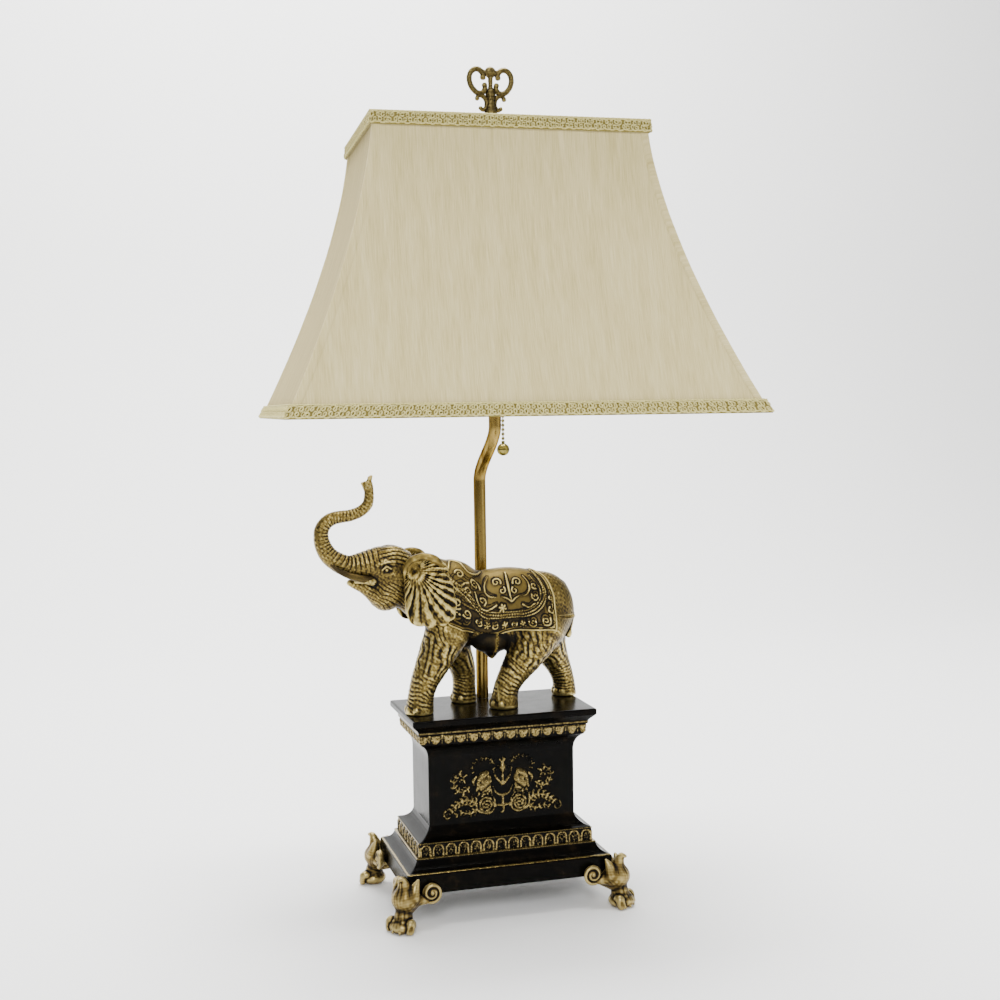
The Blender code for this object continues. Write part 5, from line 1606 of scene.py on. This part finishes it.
def saddleRise(x, v):
    # mm that the ornament stands up: strokes, the braided arc band, and the rim along every edge
    away = np.abs(v)
    where = np.stack([x.ravel(), away.ravel()], -1)
    rise = 0.95 * strokeHeight(where, saddleStrokes).reshape(x.shape)
    middle = [(x - 0.04 * (x - 4), z + 2.3 - 0.02 * max(0, z - 280)) for x, z in arcLine]
    line = smoothPath([(x, float(down(z))) for x, z in middle], 120)
    gap = np.full(where.shape[0], 99.0)
    spot = np.zeros(where.shape[0])
    length = np.concatenate([[0], np.cumsum(np.hypot(*np.diff(line, axis=0).T))])
    for knot, s in zip(line, length):
        d = np.hypot(where[:, 0] - knot[0], where[:, 1] - knot[1])
        spot = np.where(d < gap, s, spot)
        gap = np.minimum(gap, d)
    gap, spot = gap.reshape(x.shape), spot.reshape(x.shape)
    beads = 0.75 * domed(gap, 1.25) * (0.45 + 0.55 * np.abs(np.sin(np.pi * spot / 2.6)))
    rise = np.maximum(rise, np.where(gap < 1.6, beads, 0))
    hem, rear = hemAt(x) - away, rearAt(away) - x
    edge = np.minimum(hem, rear)
    rim = domed(edge - 0.9, 0.95)
    second = 0.55 * domed(edge - 3.0, 0.6)
    rise = np.where(edge < 2.4, 0, rise)
    return np.maximum(rise, np.maximum(rim, second))


def makeCaparison():
    across = np.linspace(0, 1, 166)
    t = np.linspace(-1, 1, 207)
    front = -56.5
    ga, gt = np.meshgrid(across, t, indexing="ij")
    x = front + (rearAt(np.abs(gt) * 67) - front) * ga
    v = gt * hemAt(x)
    lift = 1.15 + saddleRise(x, v)
    over = onBack(x, v, lift)
    under = onBack(x, v, 0 * x - 0.6)
    return piece("elephantCaparison", [leaf(over, under)], figureGold, slot="gold_resin", sharp=80)


caparison = makeCaparison()
# the black wash gathers round the ornament's feet, and over the whole outer field
points = vertexArray(caparison) / mm
ringLength = down(points[:, 2])
side = np.stack([points[:, 0], ringLength], -1)
nearStroke = strokeHeight(side, [part + [0, 0, 1.1] for part in saddleStrokes])
onStroke = strokeHeight(side, saddleStrokes)
halo = (nearStroke > 0.4) * (onStroke < 0.25)
outerField = np.interp(points[:, 0], *np.array(sorted(arcLine)).T) - points[:, 2]
outerField = fade(outerField, -1, 2) * (points[:, 0] < 37)
setAttribute(
    caparison, "wash",
    hollowness(caparison.data, 8) + 0.24 * halo + 0.12 * outerField * (onStroke < 0.25) - 0.05
)


def bead(place, radius, sides=10, rings=6):
    turn = np.linspace(-math.pi / 2, math.pi / 2, rings)
    return lathe(np.column_stack([radius * np.cos(turn), radius * np.sin(turn)]), place, sides)


beadBits = []
for side in (-1, 1):
    for z in np.linspace(248.6, 231.6, 7):
        # down the girth: its skin leans in towards the belly's middle as it goes down
        y = 20.3 * math.sqrt(max(0.0, 1 - ((z - 245.5) / 17.5) ** 2))
        skinOut = 40.0
        for _ in range(30):
            skinOut -= 0.7 * float(bodyField(-6.5, mid + side * skinOut, z))
        y = max(y, min(skinOut, 30.0) if z > 236 else 0.0) + 0.9
        beadBits.append(bead(np.array([-6.5, mid + side * y, z]) * mm, 1.15 * mm))
# the crupper runs level round the rump to the tail, as two cords with studs between them
angles = np.radians(np.linspace(-88, 88, 120))
out = np.full(len(angles), 60.0)
for _ in range(34):
    out = out - 0.72 * bodyField(30 + out * np.cos(angles), mid + out * np.sin(angles), 263 + 0 * angles)
for lift in (-1.7, 1.7):
    path = np.stack(
        [
            30 + (out + 0.3) * np.cos(angles), mid + (out + 0.3) * np.sin(angles),
            264.5 + lift - 4.5 * np.cos(angles)
        ],
        -1
    )
    path = path[path[:, 0] > 44]
    beadBits.append(sweep(path * mm, 0.75 * mm, 8, up=(0, 0, 1)))
for a, r in zip(angles[4:-4:4], out[4:-4:4]):
    spot = np.array(
        [30 + (r + 0.3) * math.cos(a), mid + (r + 0.3) * math.sin(a), 264.5 - 4.5 * math.cos(a)]
    )
    if spot[0] > 45:
        beadBits.append(bead(spot * mm, 1.0 * mm))
harness = piece("elephantHarness", beadBits, figureGold, slot="gold_resin", sharp=60)
points = vertexArray(harness) / mm
setAttribute(harness, "wash", 0.06 * ripple(points, 5, 52) - 0.12 + 0.06 * ripple(points, 5, 51))
print("caparison made")


# Paw feet


def footForms():
    # in the corner's own frame: x and y run outwards past the plinth's faces, z is the height
    def at(x, y, z):
        return np.array([x, y, z], float)

    outward = np.array([1, 1, 0]) / math.sqrt(2)
    across = np.array([1, -1, 0]) / math.sqrt(2)
    forms = [
        ball(at(2.8, 2.8, 27.5), (12.4, 12.4, 11.0), blend=2),
        rope(
            [at(-5, -5, 25), at(1.6, 1.6, 22.6), at(4.6, 4.6, 17), at(5.4, 5.4, 11)], [9.4, 9.6, 7.4, 8.6],
            blend=2
        ),
        ball(at(6.2, 6.2, 5.6), (12.0, 12.0, 6.6), blend=1.4),
        # the calyx over the thigh: three lobes, the middle one's tip turned out
        rope(
            [at(3.4, 3.4, 32), at(4.4, 4.4, 40), at(6.4, 6.4, 46.0), at(9.2, 9.2, 46.4)],
            [7.6, 5.2, 3.2, 1.5], blend=2.2, count=12
        ),
        rope(
            [at(-3.4, 8.4, 30), at(-5.4, 7.0, 38), at(-8.4, 6.0, 43.6)], [5.4, 3.8, 1.4], blend=1.6, count=8
        ),
        rope(
            [at(8.4, -3.4, 30), at(7.0, -5.4, 38), at(6.0, -8.4, 43.6)], [5.4, 3.8, 1.4], blend=1.6, count=8
        ),
        rope([at(-16, 4.0, 24.6), at(-9, 4.6, 25.4), at(0, 4.6, 27)], [3.2, 4.6, 6.4], blend=2.5, count=10),
        rope([at(4.0, -16, 24.6), at(4.6, -9, 25.4), at(4.6, 0, 27)], [3.2, 4.6, 6.4], blend=2.5, count=10),
        block(at(-20.4, -20.4, 24.4), at(3.0, 3.0, 28.4), 0.6, blend=1.0),
    ]
    for slot in (-1.5, -0.5, 0.5, 1.5):
        knuckle = at(6.6, 6.6, 9.2) + across * slot * 6.2
        lead = outward * (8.8 - 1.7 * abs(slot)) + across * slot * 1.5
        tip = knuckle + lead * 0.72 - [0, 0, 5.2]
        forms.append(
            rope([knuckle, knuckle + lead * 0.45 - [0, 0, 0.4], tip], [3.6, 4.2, 3.7], blend=0.25, count=8)
        )
        claw = tip + outward * 2.5 - [0, 0, 0.2]
        forms.append(
            rope(
                [claw, claw + outward * 1.6 - [0, 0, 1.0], claw + outward * 2.2 - [0, 0, 2.6]],
                [1.5, 1.2, 0.5], blend=0.4, count=6
            )
        )
    for flip in (False, True):
        # each face's volute: a disc with a raised spiral rope that ends in an eye
        t = np.linspace(0, 1, 30)
        angle = np.radians(-78) - 2 * np.pi * 1.75 * t
        radius = 8.0 * (1 - t) ** 0.85 + 0.6
        run, rise = -20.6 + radius * np.cos(angle), 31.2 + radius * np.sin(angle)
        depth = 7.0 - 1.2 * (1 - t)
        spiralKnots = np.stack([run, depth, rise], -1)
        centre = at(-20.6, 4.1, 31.2)
        eye = at(-20.6, 7.4, 31.2)
        if flip:
            spiralKnots, centre, eye = spiralKnots[:, [1, 0, 2]], centre[[1, 0, 2]], eye[[1, 0, 2]]
        disc = (3.3, 8.4, 8.4) if flip else (8.4, 3.3, 8.4)
        forms.append(ball(centre, disc, blend=0.8))
        forms.append(rope(spiralKnots, 1.55 - 0.55 * t, blend=0.5, count=44))
        forms.append(ball(eye, (1.7, 1.7, 1.7), blend=0.4))
    forms += [
        block(at(-60, -60, 27.6), at(0.35, 0.35, 90), 0.1, cut=True),
        block(at(-60, -60, -30), at(60, 60, 0.05), 0.1, cut=True),
        rope([at(-13, -13, 18), at(-13, -13, 30)], [2.4, 2.4], blend=0, count=2, cut=True),
        rope([at(-13, -13, 12), at(-13, -13, 21.8)], [4.5, 4.5], blend=0.3, count=2, cut=True),
    ]
    return forms


def footRelief(p, n):
    # leaf veins fan up the corner; the shin has long sinews; the pads are finely cut
    across, up = (p[:, 0] - p[:, 1]) / math.sqrt(2), p[:, 2]
    fan = across / (1 + 0.02 * (up - 24))
    leaf = groove(fan / 5.6 + 0.5 + 0.3 * np.sign(across) * (up - 26) / 14, 1.4) * fade(up, 29, 35) * 0.42
    outer = (p[:, 0] > 0.6) & (p[:, 1] > 0.6)
    sinew = groove(
        across / 4.4 + 0.25 * ripple(p, 12, 61), 1.8
    ) * fade(up, 22, 19) * fade(up, 11, 14) * 0.25
    return leaf * outer + sinew + 0.08 * ripple(p, 2.8, 62)


footAxes, footField = grow((-31, -31, -1.2), (19.5, 19.5, 51), 0.7, footForms())
footSkin = eased(skin(footAxes, footField), 1)
for signX, signY, name in zip((-1, 1, 1, -1), (-1, -1, 1, 1), cornerNames):
    foot = piece(
        f"pawFoot{camel(name)}",
        [footSkin],
        footGold,
        slot="gold_resin",
        replaces=[f"paw_foot_{name}"],
        sharp=50,
    )
    points = swell(foot, footRelief)
    points[:, 0] = pedestal["x"] + signX * (95.5 + points[:, 0])
    points[:, 1] = signY * (60.5 + points[:, 1])
    foot.data.vertices.foreach_set("co", (points * mm).ravel())
    if signX * signY < 0:
        foot.data.flip_normals()
    foot.data.update()
    setAttribute(foot, "wash", hollowness(foot.data, 10))
print("feet made")


# Finial


def post(heights, radii, **options):
    # a turned post on the finial's axis
    return rope([(0, 0, z) for z in heights], radii, **options)


def finialForms():
    forms = [
        ball((0, 0, 756.8), (5.1, 3.4, 4.6), blend=0.8),
        post([754, 748.6, 743.8], [2.2, 2.2, 2.0], blend=0.8, count=5),
        ball((0, 0, 736.4), (4.5, 3.4, 4.6), blend=1.2),
        post([741.5, 736, 729, 722.6], [2.4, 3.9, 3.9, 4.6], blend=1.0, count=8),
        ball((0, 0, 721.8), (5.2, 3.8, 2.6), blend=0.8),
        post([719.6, 716.4], [5.6, 5.6], blend=0.6, count=3),
        post([714, 705, 701.4], [4.1, 4.9, 5.4], blend=0.6, count=5),
        post([709.4, 708.4], [5.4, 5.4], blend=0.4, count=3),
        block((-20, -20, 680), (20, 20, 696.9), 0.1, cut=True),
        post([690, 706.0], [3.5, 3.5], blend=0, count=2, cut=True),
    ]
    for side in (-1, 1):
        loop = [
            (6.4, 751.6), (7.6, 755.6), (10.4, 758.4), (14.6, 758.9), (18.8, 755.8), (20.3, 750.2),
            (18.8, 744.2), (15.4, 739.8), (11.6, 737.7), (7.6, 738.4), (5.4, 741.4), (5.2, 744.4)
        ]
        forms.append(
            rope(
                [(side * x * 0.975, 0, z - 0.3) for x, z in loop], [1.9] + [2.45] * 10 + [1.9], blend=0.6,
                count=44
            )
        )
        forms += [
            ball((side * 7.2, 0, 751.6), (2.5, 2.4, 2.5), blend=0.4),
            ball((side * 5.6, 0, 744.6), (2.5, 2.4, 2.5), blend=0.4)
        ]
        forms.append(
            rope(
                [(side * 2.0, 0, 753.6), (side * 4.4, 0, 755.6), (side * 8.0, 0, 756.8)], [2.0, 2.2, 1.8],
                blend=0.6, count=8
            )
        )
        hook = [
            (13.0, 733.4), (10.6, 735.4), (7.2, 734.8), (4.4, 732.0), (3.6, 728.0), (4.4, 724.6),
            (7.0, 722.6), (9.4, 723.6)
        ]
        forms.append(
            rope(
                [(side * x, 0, z) for x, z in hook], [1.5, 1.9, 2.1, 2.2, 2.2, 2.1, 1.9, 1.5], blend=0.5,
                count=26
            )
        )
        forms += [
            ball((side * 12.6, 0, 732.6), (2.2, 2.0, 2.2), blend=0.4),
            ball((side * 9.4, 0, 724.0), (2.0, 1.9, 2.0), blend=0.4)
        ]
    return forms


def finialRelief(p, n):
    # pitted all over, with rings cut round the baluster
    baluster = (np.abs(p[:, 0]) < 4.4) * fade(p[:, 2], 744, 741) * fade(p[:, 2], 720, 724)
    return 0.10 * ripple(p, 2.4, 71) + 0.12 * groove(p[:, 2] / 3.4, 2) * baluster


finialSkin = eased(skin(*grow((-23.5, -7, 696), (23.5, 7, 762.6), 0.42, finialForms())), 1)
finial = piece(
    "scrollFinial", [finialSkin], finialMetal, body="finial", slot="antique_metal", replaces=["finial"],
    sharp=60
)
swell(finial, finialRelief)
setAttribute(finial, "wash", hollowness(finial.data, 8))
print("finial made")


# Stem, socket, harp and chain

z = np.concatenate(
    [[179.8], np.linspace(182, 384, 24), np.linspace(386, 438, 40), np.linspace(440, 450, 4)]
)
share = np.clip((z - 386) / 52, 0, 1)
ease = share * share * (3 - 2 * share)
stemPath = np.stack([-7 * (1 - ease), 31 * (1 - ease), z], -1)
piece(
    "stemTube", [sweep(stemPath * mm, 5.7 * mm, 48)], antiqueBrass, slot="antique_metal",
    replaces=["stem_tube"]
)

harpSide = [
    (31, 474.5), (31, 480), (31, 495), (34.5, 504), (44, 516), (52, 529), (56, 546), (56.8, 570), (55, 600),
    (50, 630), (42, 655), (31, 674), (19.2, 682.8), (9, 686.4), (0, 687.5)
]
harpKnots = [(x, 0, z) for x, z in harpSide] + [(-x, 0, z) for x, z in harpSide[-2::-1]]
harpPath = smoothPath(np.array(harpKnots, float), 260)
piece("harpWire", [sweep(harpPath * mm, 1.6 * mm, 16)], harpBrass, slot="brass", replaces=["harp_wire"])
for sign, name in ((-1, "left"), (1, "right")):
    sleeve = [
        (2.25, 479.0), (3.4, 479.0), (3.8, 478.6), (3.9, 478), (3.6, 477.4), (3.6, 466.4), (3.95, 465.8),
        (4.0, 465.0), (3.6, 464.2), (2.25, 464.2)
    ]
    piece(
        f"harpFerrule{name.capitalize()}", [lathe(np.array(sleeve) * mm, (sign * 31 * mm, 0, 0), 40, True)],
        harpBrass, body=f"ferrule_{name}", slot="brass", replaces=[f"harp_ferrule_{name}"],
    )


cap = np.vstack([
    smoothPath(
        [
            (18.0, 478.0), (18.1, 476.6), (17.7, 476.0), (17.7, 468.0), (18.0, 467.0), (17.6, 464.4),
            (15.8, 458.6), (11.4, 454.8), (8.0, 452.4)
        ],
        60
    ),
    [(5.3, 452.2), (5.3, 453.1), (7.6, 453.3), (10.4, 455.4), (15.2, 459.0), (17.2, 464.3), (17.3, 478.0)],
])
piece(
    "socketCap", [lathe(cap * mm, steps=72, loop=True)], socketBrass, slot="brass", replaces=["socket_cap"]
)
shell = [
    (16.4, 523.0), (17.2, 523.0), (17.6, 522.4), (17.5, 521.6), (16.95, 521.0), (16.9, 516.0),
    (17.25, 515.2), (17.25, 514.2), (16.9, 513.4)
]
shell += [(16.9, 484.0), (17.2, 483.2), (17.2, 481.8), (16.9, 481.0), (16.9, 472.6), (16.4, 472.6)]
piece(
    "socketShell", [lathe(np.array(shell) * mm, steps=96, loop=True)], socketBrass, slot="brass",
    replaces=["socket_shell"]
)


bend = [(0, -26 + 4 * (1 - math.sin(a)), 490 + 4 * math.cos(a)) for a in np.linspace(0.12, math.pi / 2, 7)]
guidePath = smoothPath(
    np.array([(0, -17.4, 494.0), (0, -20, 494.0), *bend, (0, -26, 486), (0, -26, 482.3)]), 60
)
guideRadii = np.interp(
    np.linspace(0, 1, 60), [0, 0.12, 0.5, 0.85, 1.0], [3.6, 3.0, 2.9, 3.1, 3.8]
)[:, None, None]
tangent = np.gradient(guidePath, axis=0)
tangent /= np.linalg.norm(tangent, axis=1)[:, None]
over = np.cross(tangent, [1, 0, 0])
ring = np.linspace(0, 2 * math.pi, 28, endpoint=False)[None, :, None]
spokes = np.cos(ring) * np.array([1.0, 0, 0]) + np.sin(ring) * over[:, None]
outerSkin = guidePath[:, None] + guideRadii * spokes
innerSkin = guidePath[:, None] + (guideRadii - 0.65) * spokes
piece(
    "chainGuide", [gridBit(np.concatenate([outerSkin, innerSkin[::-1]]) * mm, True, True)], harpBrass,
    slot="brass", replaces=["chain_guide"]
)


def beads(top, count, pitch=4.0, radius=1.45):
    # hollow balls on a link: circles of radius r joined by a 0.45 mm neck
    rows = [(0, top + 0.3)]
    for k in range(count):
        middle = top - 1.6 - k * pitch
        turn = np.radians(np.linspace(72, -72, 13))
        rows += list(np.stack([radius * np.cos(turn), middle + radius * np.sin(turn)], -1))
    rows.append((0, top - 3.2 - (count - 1) * pitch - 0.3))
    return np.array(rows) * mm


chainPlace = (0, -26 * mm, 0)
chainBrass = wornMetal("antiqueBallChain", "#857b4e", "#4c4528", 0.3, edge="#4c4424")
piece(
    "chainLead", [lathe(beads(490.5, 2), chainPlace, 20)], chainBrass, body="chain_slider", slot="brass",
    replaces=["chain_lead"]
)
piece(
    "chainJointBead", [lathe(beads(480.7, 1), chainPlace, 20)], chainBrass, body="chain_coupling",
    slot="brass", replaces=["chain_joint_bead"]
)
piece(
    "pullChain", [lathe(beads(476.0, 13), chainPlace, 20)], chainBrass, body="chain", slot="brass",
    replaces=["pull_chain"]
)
turn = np.radians(np.linspace(76, -90, 30))
knob = [(0, 424.3), (1.3, 424.3), (1.5, 423.6), (1.45, 422.2)]
knob += list(np.stack([5.6 * np.cos(turn), 416.5 + 5.6 * np.sin(turn)], -1))
ballFinish = wornMetal("antiqueBrassBall", "#98894c", "#565027", 0.16, edge="#4c4424")
piece(
    "pullBall", [lathe(np.array(knob) * mm, chainPlace, 40)], ballFinish, body="chain", slot="brass",
    replaces=["pull_ball"]
)

# the bulb: frosted glass, and a screw cap whose thread is r = 12.6 + 0.55 cos(angle - 2 pi z / 3.6)
glassOuter = smoothPath(
    [
        (0, 615.0), (6, 614.4), (11.5, 612.8), (21, 606.2), (27.5, 596.2), (29.9, 585), (28.5, 573),
        (24, 561), (18.5, 549), (14.8, 537), (13.4, 526.6)
    ],
    70
)
glassOuter[0, 0] = 0
glassInner = glassOuter[::-1] - [0.9, 0]
glassInner[:, 0] = np.maximum(glassInner[:, 0], 0)
glassInner[-1] = (0, 614.1)
glassInner[-12:, 1] = np.minimum(glassInner[-12:, 1], 614.1)
frosted, tree, shader = newMaterial(
    "frostedGlass", BaseColor=linear("#f2f1ec"), Roughness=0.35, SubsurfaceWeight=0.4
)
shader.inputs["Subsurface Scale"].default_value = 2 * mm
piece(
    "bulbGlass", [lathe(np.vstack([glassOuter, glassInner]) * mm, steps=64)], frosted, body="bulb",
    slot="bulb_glass", replaces=["bulb_glass"]
)
capZ = np.linspace(507, 525, 80)
capTurn = np.linspace(0, 2 * math.pi, 64, endpoint=False)
gz, gturn = np.meshgrid(capZ, capTurn, indexing="ij")
ends = fade(gz, 507, 509) * fade(gz, 525, 523)
r = 12.55 + 0.6 * np.cos(gturn - 2 * np.pi * gz / 3.6) * ends
wall = np.stack([r * np.cos(gturn), r * np.sin(gturn), gz], -1)
low = [(0, 499.1), (3.9, 499.2), (4.5, 500.7), (8.4, 502.0), (11.6, 505.0)]
high = [(12.9, 525.6), (12.2, 526.2), (0, 526.2)]
rows = [np.stack([r * np.cos(capTurn), r * np.sin(capTurn), z + 0 * capTurn], -1) for r, z in low + high]
capGrid = np.concatenate([rows[: len(low)], wall, rows[len(low) :]])
piece(
    "bulbCap", [gridBit(capGrid * mm, False, True)], brightAluminium, body="bulb", slot="aluminium",
    replaces=["bulb_cap"]
)
print("lamp parts made")


# CAD parts that are seen as they are


def paint(material, *nodes):
    for name in nodes:
        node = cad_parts[name]
        node.data.materials.clear()
        node.data.materials.append(material)


paint(hardboard, "bottom_cover")
paint(softRubber, "cord_grommet")
paint(zincSteel, *(f"{kind}_{name}" for kind in ("foot_screw", "shade_rib") for name in cornerNames))
paint(
    zincSteel, "figure_bolt_near", "figure_bolt_far", "stem_nipple", "stem_washer", "stem_nut",
    "socket_nipple"
)
paint(zincSteel, "shade_top_ring", "shade_bottom_ring", "lever_pin")
paint(
    harpBrass, "harp_saddle", "harp_stud", "shade_spider", "switch_lever", "screw_shell", "centre_contact"
)
paint(fibrePaper, "socket_liner")
paint(phenolic, "socket_body")
